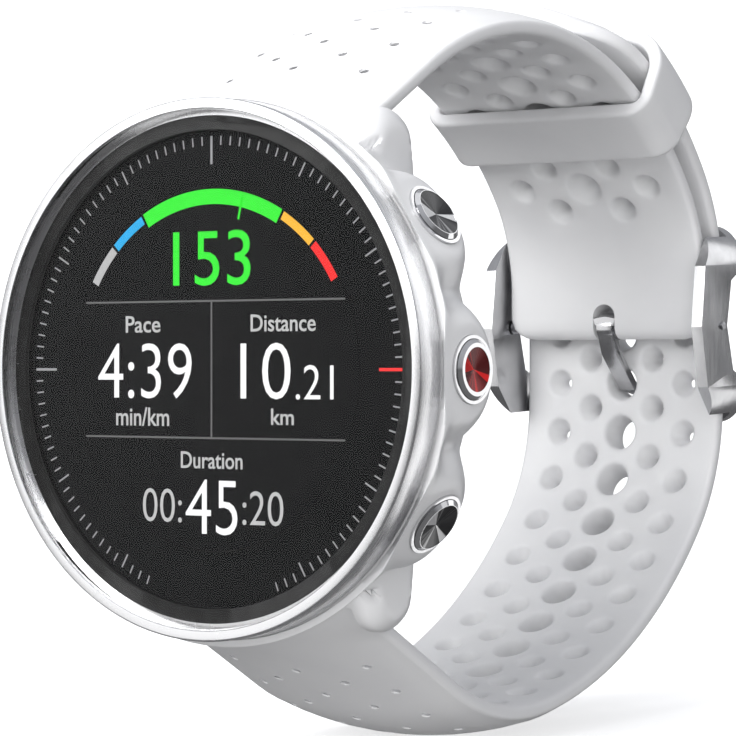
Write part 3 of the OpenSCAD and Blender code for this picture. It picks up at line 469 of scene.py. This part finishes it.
BEND_C = Vector((24.2249, -3.3992))
KEEPER_A, KEEPER_L, BEND_R = 54.0, 7.3, 34.3
LOOP_WALL, LOOP_GAP = 1.5, 0.3
stack = STRAP_T * 2 + 0.1 + 2 * LOOP_GAP
keeper_bm = bmesh.new()
loops = []
for half_n, half_x, r_out, r_in in ((stack / 2 + LOOP_WALL, STRAP_W / 2 + 1.6, 5.2, 2.6),
                                    (stack / 2, STRAP_W / 2 + LOOP_GAP, 3.9, 0.9)):
    loop = []
    for cx, cn, a0 in ((1, 1, 0), (-1, 1, 90), (-1, -1, 180), (1, -1, 270)):
        r = r_out if cn > 0 else r_in
        for k in range(13):
            a = math.radians(a0 + 90 * k / 12)
            corner = (cx * (half_x - r) + r * math.cos(a), 0, cn * (half_n - r) + r * math.sin(a))
            loop.append(keeper_bm.verts.new(corner))
    loops.append([keeper_bm.edges.new((loop[i], loop[(i + 1) % len(loop)])) for i in range(len(loop))])
bmesh.ops.bridge_loops(keeper_bm, edges=loops[0] + loops[1])
thicken(keeper_bm, keeper_bm.faces[:], (0, KEEPER_L, 0))
bmesh.ops.recalc_face_normals(keeper_bm, faces=keeper_bm.faces)
rims = [e for e in keeper_bm.edges if abs(e.verts[0].co.y - e.verts[1].co.y) < 1e-4
        and len(e.link_faces) == 2 and e.calc_face_angle(0) > 1.0]
bmesh.ops.bevel(keeper_bm, geom=rims, offset=0.45, segments=4, profile=0.5, affect="EDGES", material=-1)
for k in range(1, 8):
    slice_at(keeper_bm, (0, KEEPER_L * k / 8, 0), (0, 1, 0))
for v in keeper_bm.verts:
    a = math.radians(KEEPER_A) - (v.co.y - KEEPER_L / 2) / BEND_R
    out = BEND_R - LOOP_GAP + stack / 2 + v.co.z
    v.co = Vector((v.co.x, BEND_C[0] + out * math.cos(a), BEND_C[1] + out * math.sin(a)))
bmesh.ops.recalc_face_normals(keeper_bm, faces=keeper_bm.faces)
keeper_silicone = silicone.copy()
keeper_silicone.name = "keeper_silicone"
piece("keeper_loop", keeper_bm, keeper_silicone, "keeper", "keeper_silicone", "keeper", sharp=50)

# Case.
# A moulded white polymer cup. Its wall swells round each button and flows out into four lug horns,
# each with a flat outer side, and a lip stands round the bezel.
BUTTON_H, GUARD_U = 6.0, 23.65
BUTTONS = {"up": 32.5, "ok": 0.0, "down": -32.5, "light": 147.5, "back": 212.5}


def ease(a, b, x):
    k = max(0.0, min(1.0, (x - a) / (b - a)))
    return k * k * (3 - 2 * k)


def lathe(bm, rows, steps):
    """Spins a closed outline of (radius, height) round the axis from the sensor's face to the glass."""
    chain = [bm.verts.new((r, -h, 0)) for r, h in rows]
    edges = [bm.edges.new((chain[i], chain[(i + 1) % len(chain)])) for i in range(len(chain))]
    bmesh.ops.spin(bm, geom=chain + edges, cent=(0, 0, 0), axis=(0, 1, 0), angle=math.tau, steps=steps,
                   use_merge=True)
    bmesh.ops.remove_doubles(bm, verts=bm.verts, dist=1e-4)
    bmesh.ops.recalc_face_normals(bm, faces=bm.faces)


def meet(a, b, soft):
    """The larger of two radii, or the smaller when soft is negative, eased where they cross."""
    return (a + b + math.copysign(math.hypot(a - b, soft), soft)) / 2


OUTER = [(18.75, 1.0), (19.3, 1.02), (19.85, 1.12), (20.35, 1.4), (20.8, 1.85), (21.15, 2.4), (21.32, 2.75),
         (21.45, 3.1), (21.55, 3.45), (21.64, 3.8), (21.72, 4.15), (21.78, 4.5), (21.82, 4.85), (21.85, 5.2),
         (21.88, 5.55), (21.91, 5.9), (21.96, 6.25), (22.02, 6.6), (22.09, 6.9), (22.18, 7.2), (22.35, 7.55),
         (22.58, 7.9), (22.86, 8.25), (23.16, 8.6), (23.42, 8.9), (23.62, 9.12), (23.72, 9.28), (23.72, 9.4),
         (23.62, 9.48), (23.14, 9.5)]
INNER = [(23.10, 9.45), (23.10, 9.29), (20.2, 9.29), (19.6, 9.1), (19.6, 8.0), (19.5, 2.7), (18.6, 2.6)]
case_bm = bmesh.new()
lathe(case_bm, OUTER + INNER, 720)
HORN_X1 = 14.8
for v in case_bm.verts:
    r, h = math.hypot(v.co.x, v.co.z), -v.co.y
    if r < 18.7 or (h > 2.5 and r < 21.0) or (h > 9.2 and r < 23.11):
        continue
    a = math.atan2(v.co.z, v.co.x)
    out = r
    lift = 0.0
    for angle in BUTTONS.values():
        d = (a - math.radians(angle) + math.pi) % math.tau - math.pi
        if abs(d) > 0.6:
            continue
        side, up = 23 * math.sin(d), h - BUTTON_H
        near = math.hypot(side, up * (1.2 if up < 0 else 0.8))
        w = 1 - ease(3.3, 7.2, near)
        out += (GUARD_U / math.cos(d) - r) * w
        lift = max(lift, w * 0.5 * ease(9.0, 9.3, h))
    s, c = abs(math.sin(a)), abs(math.cos(a))
    if s > 0.6 and h < 8.6:
        x = 13.5
        for _ in range(6):
            round_r = 3.9 - 1.45 * max(0.0, min(1.0, (x - 13.0) / 1.8)) ** 2
            reach = (18.3 + math.sqrt(max(0.0, round_r ** 2 - (h - 3.9) ** 2))) / s
            x = (x + reach * c) / 2
        reach = meet(reach, HORN_X1 / max(c, 0.1), -0.35)
        out += (meet(out, reach, 0.5) - out) * ease(10.8, 12.3, reach * c) * ease(0.98, 1.5, h)
    v.co = Vector((v.co.x * out / r, v.co.y - lift, v.co.z * out / r))
gap_bm = bmesh.new()
for side in (1, -1):
    made = bmesh.ops.create_cube(gap_bm, size=1)
    for v in made["verts"]:
        v.co = Vector((v.co.x * 25, -3.2 + v.co.y * 8.4, side * (17.35 + (v.co.z + 0.5) * 12)))
for angle in BUTTONS.values():
    bore = [(0, 15.0), (1.03, 15.0), (1.03, 20.5), (1.52, 20.5), (1.52, 21.4), (2.86, 21.4), (2.86, 30.0),
            (0, 30.0)]
    add_turned(gap_bm, bore, 64, Matrix.Translation((0, -BUTTON_H, 0))
               @ Matrix.Rotation(math.radians(90 - angle), 4, "Y"))
bar_tool = bmesh.ops.create_cone(gap_bm, cap_ends=True, segments=24, radius1=0.45, radius2=0.45, depth=28.3)
bmesh.ops.transform(gap_bm, verts=bar_tool["verts"], matrix=Matrix.Translation((0, LUG[0], LUG[1]))
                    @ Matrix.Rotation(math.pi / 2, 4, "Y"))
case_bm = cut(case_bm, gap_bm)
white_case = new_material("white_case", (0.86, 0.86, 0.87), 0.34, Specular_IOR_Level=0.45, Coat_Weight=0.15,
                          Coat_Roughness=0.25)
vary_colour(white_case, noise_of(white_case, 90, 4), (0.845, 0.845, 0.855), (0.875, 0.875, 0.88))
vary_rough(white_case, noise_of(white_case, 900, 3), 0.30, 0.40)
bump(white_case, noise_of(white_case, 7000, 2), 0.05, 0.00002)
piece("case_skin", case_bm, white_case, "watch", "white_case", "case_body", sharp=50)

# Bezel.
# A turned stainless ring: a polished front edge, and a flank brushed round its length.
bezel_bm = bmesh.new()
lathe(bezel_bm, [(22.12, 12.45), (22.17, 12.5), (22.84, 12.5), (22.95, 12.46), (23.02, 12.38), (23.05, 12.25),
                 (23.05, 9.75), (22.95, 9.5), (22.8, 9.32), (21.6, 9.32), (21.6, 11.28), (22.12, 11.28)], 360)
brushed = new_material("brushed_bezel", (0.80, 0.80, 0.82), 0.26, 1.0, Anisotropic=0.55)
nodes, links = brushed.node_tree.nodes, brushed.node_tree.links
place = nodes.new("ShaderNodeTexCoord")
split = nodes.new("ShaderNodeSeparateXYZ")
join = nodes.new("ShaderNodeCombineXYZ")
angle_node = nodes.new("ShaderNodeMath")
angle_node.operation = "ARCTAN2"
slow = nodes.new("ShaderNodeMath")
slow.operation = "MULTIPLY"
slow.inputs[1].default_value = 0.0008
links.new(place.outputs["Object"], split.inputs["Vector"])
links.new(split.outputs["Z"], angle_node.inputs[0])
links.new(split.outputs["X"], angle_node.inputs[1])
links.new(angle_node.outputs[0], slow.inputs[0])
links.new(slow.outputs[0], join.inputs["X"])
links.new(split.outputs["Y"], join.inputs["Y"])
streak = nodes.new("ShaderNodeTexNoise")
streak.inputs["Scale"].default_value = 9000
streak.inputs["Detail"].default_value = 2
links.new(join.outputs["Vector"], streak.inputs["Vector"])
vary_colour(brushed, streak.outputs["Fac"], (0.84, 0.84, 0.85), (0.90, 0.90, 0.91), 0.3, 0.7)
vary_rough(brushed, streak.outputs["Fac"], 0.22, 0.32)
bump(brushed, streak.outputs["Fac"], 0.03, 0.000003)
piece("bezel_ring", bezel_bm, brushed, "watch", "brushed_bezel", "bezel", sharp=22)

# Cover glass.
# Clear hardened glass, flush with the bezel, with a small ground bevel round its edge.
glass = bpy.data.materials.new("cover_glass")
glass.use_nodes = True
nodes, links = glass.node_tree.nodes, glass.node_tree.links
nodes.remove(nodes["Principled BSDF"])
see = nodes.new("ShaderNodeBsdfTransparent")
see.inputs["Color"].default_value = (0.92, 0.92, 0.92, 1)
shine = nodes.new("ShaderNodeBsdfGlossy")
smooth = nodes.new("ShaderNodeMapRange")
smooth.inputs["To Min"].default_value = 0.02
smooth.inputs["To Max"].default_value = 0.04
links.new(noise_of(glass, 60, 2), smooth.inputs["Value"])
links.new(smooth.outputs["Result"], shine.inputs["Roughness"])
rim_gain = nodes.new("ShaderNodeFresnel")
rim_gain.inputs["IOR"].default_value = 1.17
mix = nodes.new("ShaderNodeMixShader")
links.new(rim_gain.outputs["Fac"], mix.inputs["Fac"])
links.new(see.outputs["BSDF"], mix.inputs[1])
links.new(shine.outputs["BSDF"], mix.inputs[2])
links.new(mix.outputs["Shader"], nodes["Material Output"].inputs["Surface"])
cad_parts["lens"].data.materials.clear()
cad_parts["lens"].data.materials.append(glass)

# Dial print.
# Fine printed minute ticks round the edge, the one at three o'clock in red, on a black ring. Their grey and red
# ink is given a painted glow.
PRINT_Y, PRINT_T = -10.43, 0.02


def flat_part(bm, corners):
    """A thin raised print from its outline of (x, z) points on the dial."""
    made = bm.faces.new([bm.verts.new((x, PRINT_Y, z)) for x, z in corners])
    thicken(bm, [made], (0, -PRINT_T, 0))


def tick(bm, degrees, r_out, length, width):
    d = Vector((math.cos(math.radians(degrees)), math.sin(math.radians(degrees))))
    n = Vector((-d[1], d[0])) * width / 2
    flat_part(bm, [d * r_out + n, d * r_out - n, d * (r_out - length) - n, d * (r_out - length) + n])


# Ink with an emitted glow: real light on the lit display, a painted glow on the dial's printed ticks.
def ink(name, colour, glow):
    mat = new_material(name, colour, 0.6, Emission_Strength=glow, Specular_IOR_Level=0.1)
    shade = vary_colour(mat, noise_of(mat, 2500, 2), tuple(c * 0.94 for c in colour), colour)
    shader = mat.node_tree.nodes["Principled BSDF"]
    mat.node_tree.links.new(shade.outputs["Color"], shader.inputs["Emission Color"])
    return mat


def print_piece(name, bm, mat, slot):
    bmesh.ops.recalc_face_normals(bm, faces=bm.faces)
    piece(name, bm, mat, "watch", slot)


# Painted glow: the tick inks emit light, though printed ink gives none.
grey_ink_painted_glow = ink("grey_ink_painted_glow", (0.30, 0.30, 0.31), 0.35)
red_ink_painted_glow = ink("red_ink_painted_glow", (0.62, 0.03, 0.03), 0.9)
ticks_bm = bmesh.new()
for k in range(120):
    degrees = 90 - 3 * k
    off = (degrees + 90 + 180) % 360 - 180
    if abs(off) < 20 or k == 30:
        continue
    if k % 30 == 0:
        tick(ticks_bm, degrees, 19.9, 2.4, 0.22)
    elif k % 10 == 0:
        tick(ticks_bm, degrees, 19.9, 1.3, 0.15)
    else:
        tick(ticks_bm, degrees, 19.9, 0.77, 0.13)
print_piece("dial_ticks", ticks_bm, grey_ink_painted_glow, "dial_print")
three_bm = bmesh.new()
tick(three_bm, 0, 19.9, 2.4, 0.26)
print_piece("three_o_clock_tick", three_bm, red_ink_painted_glow, "dial_print")

dial_black = new_material("dial_black", (0.012, 0.012, 0.013), 0.6, Specular_IOR_Level=0.06)
vary_colour(dial_black, noise_of(dial_black, 300, 3), (0.0035, 0.0035, 0.004), (0.0055, 0.0055, 0.006))
vary_rough(dial_black, noise_of(dial_black, 150, 2), 0.55, 0.65)

# Display picture.
# What the lit display shows: a zone arc with its needle, the pulse, and the pace, distance and time
# in their cells. Plain figures and words only.
SHOW_SLOT = "display_face"


def arc_band(bm, a0, a1, r_out, r_in, steps):
    pts = []
    for r, order in ((r_out, range(steps + 1)), (r_in, range(steps, -1, -1))):
        for k in order:
            a = math.radians(90 - (a0 + (a1 - a0) * k / steps))
            pts.append((r * math.cos(a), r * math.sin(a)))
    flat_part(bm, pts)


def words(bm, text, x0, x1, z0, z1, bold):
    """Lettering fitted to a box on the display, from the plain built-in face."""
    curve = bpy.data.curves.new("words", "FONT")
    curve.body = text
    curve.offset = bold
    curve.resolution_u = 4
    holder = bpy.data.objects.new("words", curve)
    scene.collection.objects.link(holder)
    mesh = bpy.data.meshes.new_from_object(holder.evaluated_get(bpy.context.evaluated_depsgraph_get()))
    bpy.data.objects.remove(holder)
    bpy.data.curves.remove(curve)
    got = bmesh.new()
    got.from_mesh(mesh)
    bpy.data.meshes.remove(mesh)
    xs = [v.co.x for v in got.verts]
    ys = [v.co.y for v in got.verts]
    kx, kz = (x1 - x0) / (max(xs) - min(xs)), (z1 - z0) / (max(ys) - min(ys))
    for v in got.verts:
        v.co = Vector((x0 + (v.co.x - min(xs)) * kx, PRINT_Y, z0 + (v.co.y - min(ys)) * kz))
    thicken(got, got.faces[:], (0, -PRINT_T, 0))
    add_to(bm, got)


green = ink("display_green", (0.028, 0.52, 0.028), 0.95)
blue = ink("display_blue", (0.02, 0.26, 0.50), 0.95)
amber = ink("display_amber", (0.58, 0.30, 0.03), 0.95)
red = ink("display_red", (0.56, 0.02, 0.02), 0.95)
grey = ink("display_grey", (0.30, 0.30, 0.30), 0.95)
white = ink("display_white", (0.62, 0.62, 0.62), 0.95)
dim = ink("display_dim", (0.34, 0.34, 0.34), 0.95)
rule = ink("display_rule", (0.10, 0.10, 0.10), 0.9)
for name, mat, a0, a1, r_out, r_in, steps in (
        ("zone_green", green, -29.4, 29.4, 15.4, 14.1, 40), ("zone_blue", blue, -45, -30.4, 15.35, 14.6, 12),
        ("zone_grey", grey, -60, -46, 15.35, 14.6, 12), ("zone_amber", amber, 30.4, 45, 15.35, 14.6, 12),
        ("zone_red", red, 46, 60, 15.35, 14.6, 12)):
    zone_bm = bmesh.new()
    arc_band(zone_bm, a0, a1, r_out, r_in, steps)
    if name == "zone_green":
        tick(zone_bm, 90 - 12.8, 15.0, 1.95, 0.2)
    print_piece(name, zone_bm, mat, SHOW_SLOT)
pulse_bm = bmesh.new()
words(pulse_bm, "153", -4.2, 4.2, 7.15, 11.85, 0.0)
print_piece("pulse_figures", pulse_bm, green, SHOW_SLOT)
rules_bm = bmesh.new()
for x0, x1, z0, z1 in ((-14.07, 14.07, 5.77, 5.93), (-14.07, 14.07, -5.93, -5.77), (-0.08, 0.08, -5.77, 5.77)):
    flat_part(rules_bm, [(x0, z0), (x1, z0), (x1, z1), (x0, z1)])
print_piece("display_rules", rules_bm, rule, SHOW_SLOT)
figures_bm = bmesh.new()
words(figures_bm, "4:39", -12.66, -2.16, -2.51, 2.26, -0.006)
words(figures_bm, "10", 3.14, 8.44, -2.51, 2.26, -0.006)
words(figures_bm, ".21", 8.98, 12.88, -2.51, 0.38, -0.006)
words(figures_bm, "45", -2.81, 2.81, -14.09, -9.40, -0.006)
print_piece("display_figures", figures_bm, white, SHOW_SLOT)
labels_bm = bmesh.new()
words(labels_bm, "Pace", -9.52, -5.63, 3.19, 4.64, 0.01)
words(labels_bm, "min/km", -10.61, -4.65, -4.89, -3.28, 0.01)
words(labels_bm, "Distance", 4.22, 11.04, 3.19, 4.64, 0.01)
words(labels_bm, "km", 6.39, 8.77, -4.64, -3.28, 0.01)
words(labels_bm, "Duration", -3.35, 3.35, -8.47, -7.02, 0.01)
words(labels_bm, "00:", -7.58, -3.25, -13.15, -10.26, -0.008)
words(labels_bm, ":20", 3.35, 7.68, -13.15, -10.26, -0.006)
print_piece("display_labels", labels_bm, dim, SHOW_SLOT)

# Buttons.
# Polished steel heads in polished collars. Each face is a dished disc with a turned sun-ray finish, red on the
# middle button; its bright and dark sectors are painted reflections in the colour.


def dress(mat, *names):
    for name in names:
        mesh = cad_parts[name].data
        mesh.materials.clear()
        mesh.materials.append(mat)


polished = new_material("polished_steel", (0.78, 0.78, 0.79), 0.10, 1.0)
vary_colour(polished, noise_of(polished, 900, 2), (0.74, 0.74, 0.75), (0.80, 0.80, 0.81))
vary_rough(polished, noise_of(polished, 2500, 2), 0.06, 0.13)
dress(polished, "button_collars", *(f"{side}_button_cap" for side in BUTTONS))


def painted_reflection_sunray(name, angle, turn, dark, light):
    """A finish turned on a lathe, whose bright and dark rays meeting at the disc's centre are painted
    reflections in the base colour.
    """
    mat = new_material(name, light, 0.22, 0.45)
    nodes, links = mat.node_tree.nodes, mat.node_tree.links
    place = nodes.new("ShaderNodeTexCoord")
    split = nodes.new("ShaderNodeSeparateXYZ")
    links.new(place.outputs["Object"], split.inputs["Vector"])

    def calc(kind, *values):
        node = nodes.new("ShaderNodeMath")
        node.operation = kind
        for i, value in enumerate(values):
            if isinstance(value, (int, float)):
                node.inputs[i].default_value = value
            else:
                links.new(value, node.inputs[i])
        return node.outputs[0]

    across = calc("ADD", calc("MULTIPLY", split.outputs["X"], -math.sin(math.radians(angle))),
                  calc("MULTIPLY", split.outputs["Z"], math.cos(math.radians(angle))))
    deep = calc("ADD", split.outputs["Y"], BUTTON_H * MM)
    round_it = calc("FRACT", calc("MULTIPLY_ADD", calc("ARCTAN2", across, deep), 1 / math.tau, 1 + turn / 360))
    ramp = nodes.new("ShaderNodeValToRGB")
    # Painted reflections: where the ramp turns light or dark stands in for the light the steel reflects at each
    # angle round the disc.
    painted_reflection_stops = [(0.0, 0.0), (0.18, 0.06), (0.30, 0.0), (0.36, 0.02), (0.378, 0.30), (0.396, 0.04), (0.422, 0.0),
             (0.43, 1.0), (0.545, 1.0), (0.553, 0.0), (0.63, 0.05), (0.662, 0.28), (0.69, 0.06), (0.712, 0.22),
             (0.745, 0.03), (0.78, 0.6), (0.80, 0.08), (0.87, 0.12), (0.93, 0.02), (0.938, 1.0), (0.985, 1.0),
             (0.993, 0.0)]
    for i, (at, k) in enumerate(painted_reflection_stops):
        if i < 2:
            stop = ramp.color_ramp.elements[i]
            stop.position = at
        else:
            stop = ramp.color_ramp.elements.new(at)
        stop.color = (*(d + (c - d) * k for c, d in zip(light, dark)), 1)
    links.new(round_it, ramp.inputs["Fac"])
    links.new(ramp.outputs["Color"], nodes["Principled BSDF"].inputs["Base Color"])
    rays = nodes.new("ShaderNodeTexNoise")
    rays.noise_dimensions = "1D"
    rays.inputs["Scale"].default_value = 60
    links.new(round_it, rays.inputs["W"])
    vary_rough(mat, rays.outputs["Fac"], 0.14, 0.32)
    bump(mat, rays.outputs["Fac"], 0.25, 0.00002)
    return mat


# Each button's painted reflection sectors are turned to their own angle; the red middle button gets the same
# painted reflections in red.
for side, turn in (("up", 0), ("down", 25), ("light", 0), ("back", 25)):
    steel_painted_reflection = painted_reflection_sunray(f"sunray_{side}", BUTTONS[side], turn, (0.015, 0.015, 0.017), (0.95, 0.95, 0.95))
    dress(steel_painted_reflection, f"{side}_button_insert")
dress(painted_reflection_sunray("sunray_red", BUTTONS["ok"], 10, (0.10, 0.002, 0.003), (0.90, 0.01, 0.01)), "ok_button_insert")

rubber = new_material("black_rubber", (0.02, 0.02, 0.02), 0.6)
vary_colour(rubber, noise_of(rubber, 800, 3), (0.015, 0.015, 0.015), (0.03, 0.03, 0.03))
dress(rubber, "button_seals", "lens_gasket", "rear_gasket")
wire = new_material("spring_wire", (0.55, 0.55, 0.57), 0.28, 1.0)
vary_colour(wire, noise_of(wire, 2000, 2), (0.48, 0.48, 0.50), (0.62, 0.62, 0.64))
dress(wire, *(f"{side}_button_{part}" for side in BUTTONS for part in ("spring", "clip")),
      *(f"{bar}_bar_spring" for bar in ("upper", "lower", "buckle")))

# Buckle frame.
# A stamped and polished steel frame, bent to a shallow V at the sides, with softened edges.


def softened(node, offset, segments=3):
    """A merged copy of a CAD solid, in millimetres, with its sharp edges rounded."""
    bm = bmesh.new()
    bm.from_mesh(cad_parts[node].data)
    for v in bm.verts:
        v.co /= MM
    bmesh.ops.remove_doubles(bm, verts=bm.verts, dist=0.002)
    bmesh.ops.dissolve_limit(bm, angle_limit=math.radians(1.0), verts=bm.verts[:], edges=bm.edges[:])
    bmesh.ops.recalc_face_normals(bm, faces=bm.faces)
    sharp = [e for e in bm.edges if len(e.link_faces) == 2 and e.calc_face_angle(0) > math.radians(28)
             and e.calc_length() > 0.4 * offset]
    bmesh.ops.bevel(bm, geom=sharp, offset=offset, segments=segments, profile=0.5, affect="EDGES", material=-1,
                    clamp_overlap=True)
    bmesh.ops.recalc_face_normals(bm, faces=bm.faces)
    return bm


buckle_steel = new_material("buckle_steel", (0.56, 0.56, 0.57), 0.2, 1.0)
vary_colour(buckle_steel, noise_of(buckle_steel, 400, 3), (0.52, 0.52, 0.53), (0.60, 0.60, 0.61))
vary_rough(buckle_steel, noise_of(buckle_steel, 1800, 2, (1, 1, 0.15)), 0.16, 0.28)
piece("buckle_frame_skin", softened("buckle_frame", 0.3, 5), buckle_steel, "buckle_frame", "buckle_steel",
      "buckle_frame", sharp=30)

# Buckle tongue.
# A bent steel pin with an eye round the bar. It passes up through the tail to the lower crossbar.
tongue_steel = buckle_steel.copy()
tongue_steel.name = "tongue_steel"
piece("buckle_tongue_skin", softened("buckle_tongue", 0.2), tongue_steel, "buckle_tongue", "buckle_steel",
      "buckle_tongue", sharp=40)

# Spring bars.
# Steel tubes with a sprung tip in each end, two at the lugs and one at the buckle.
bar_steel = new_material("bar_steel", (0.66, 0.66, 0.68), 0.24, 1.0)
vary_colour(bar_steel, noise_of(bar_steel, 1200, 2), (0.60, 0.60, 0.62), (0.70, 0.70, 0.72))
vary_rough(bar_steel, noise_of(bar_steel, 3000, 2), 0.18, 0.32)
dress(bar_steel, *(f"{bar}_bar_{part}" for bar in ("upper", "lower", "buckle")
                   for part in ("tube", "tip_right", "tip_left")))

# Dial ring and display.
# The black ring under the print, and the display's dark face behind the glass.
dress(dial_black, "dial_ring")
dark_face = dial_black.copy()
dark_face.name = "display_dark_face"
dress(dark_face, "display_module")

# Rear cover, sensor and charging pads.
# A moulded rear cover with four screws, the pulse sensor's window and lights, and gold contact pads.
rear_plastic = new_material("rear_plastic", (0.80, 0.80, 0.81), 0.42)
vary_colour(rear_plastic, noise_of(rear_plastic, 200, 4), (0.77, 0.77, 0.78), (0.83, 0.83, 0.835))
bump(rear_plastic, noise_of(rear_plastic, 6000, 2), 0.15, 0.00003)
dress(rear_plastic, "rear_cover")
screw_steel = new_material("screw_steel", (0.55, 0.55, 0.56), 0.3, 1.0)
vary_rough(screw_steel, noise_of(screw_steel, 3000, 2), 0.22, 0.38)
dress(screw_steel, "rear_screws")
window = new_material("sensor_glass", (0.25, 0.26, 0.28), 0.03, 0.0, Transmission_Weight=0.85, IOR=1.46)
vary_rough(window, noise_of(window, 80, 2), 0.02, 0.05)
dress(window, "sensor_window")
led = new_material("led_lens", (0.10, 0.55, 0.16), 0.15, 0.0, Emission_Strength=0.25)
led.node_tree.nodes["Principled BSDF"].inputs["Emission Color"].default_value = (0.1, 0.9, 0.2, 1)
vary_colour(led, noise_of(led, 1500, 2), (0.06, 0.42, 0.10), (0.16, 0.66, 0.22))
dress(led, "sensor_leds")
gold = new_material("contact_gold", (0.86, 0.66, 0.32), 0.22, 1.0)
vary_colour(gold, noise_of(gold, 2500, 2), (0.80, 0.60, 0.28), (0.90, 0.70, 0.36))
dress(gold, "charge_contacts", "gps_antenna")

# Inside.
# The inner frame, boards, chips, battery and motor, which show only when the watch is opened.
board = new_material("circuit_board", (0.03, 0.16, 0.07), 0.4)
vary_colour(board, noise_of(board, 900, 4), (0.02, 0.12, 0.05), (0.05, 0.22, 0.10))
dress(board, "main_board", "sensor_board")
chip = new_material("chip_plastic", (0.03, 0.03, 0.032), 0.55)
vary_colour(chip, noise_of(chip, 1200, 3), (0.02, 0.02, 0.022), (0.045, 0.045, 0.05))
dress(chip, "board_components", "button_switches")
foil = new_material("battery_foil", (0.62, 0.63, 0.65), 0.35, 0.8)
vary_colour(foil, noise_of(foil, 350, 4), (0.55, 0.56, 0.58), (0.70, 0.71, 0.73))
bump(foil, noise_of(foil, 900, 3), 0.3, 0.0001)
dress(foil, "battery")
motor = new_material("motor_steel", (0.60, 0.60, 0.62), 0.3, 1.0)
vary_rough(motor, noise_of(motor, 1500, 2), 0.22, 0.38)
dress(motor, "vibration_motor")
film = new_material("flex_film", (0.52, 0.24, 0.06), 0.35)
vary_colour(film, noise_of(film, 1000, 3), (0.44, 0.19, 0.04), (0.60, 0.30, 0.08))
dress(film, "display_flex")
frame_plastic = new_material("frame_plastic", (0.06, 0.065, 0.07), 0.5)
vary_colour(frame_plastic, noise_of(frame_plastic, 500, 3), (0.05, 0.055, 0.06), (0.08, 0.085, 0.09))
dress(frame_plastic, "inner_frame")
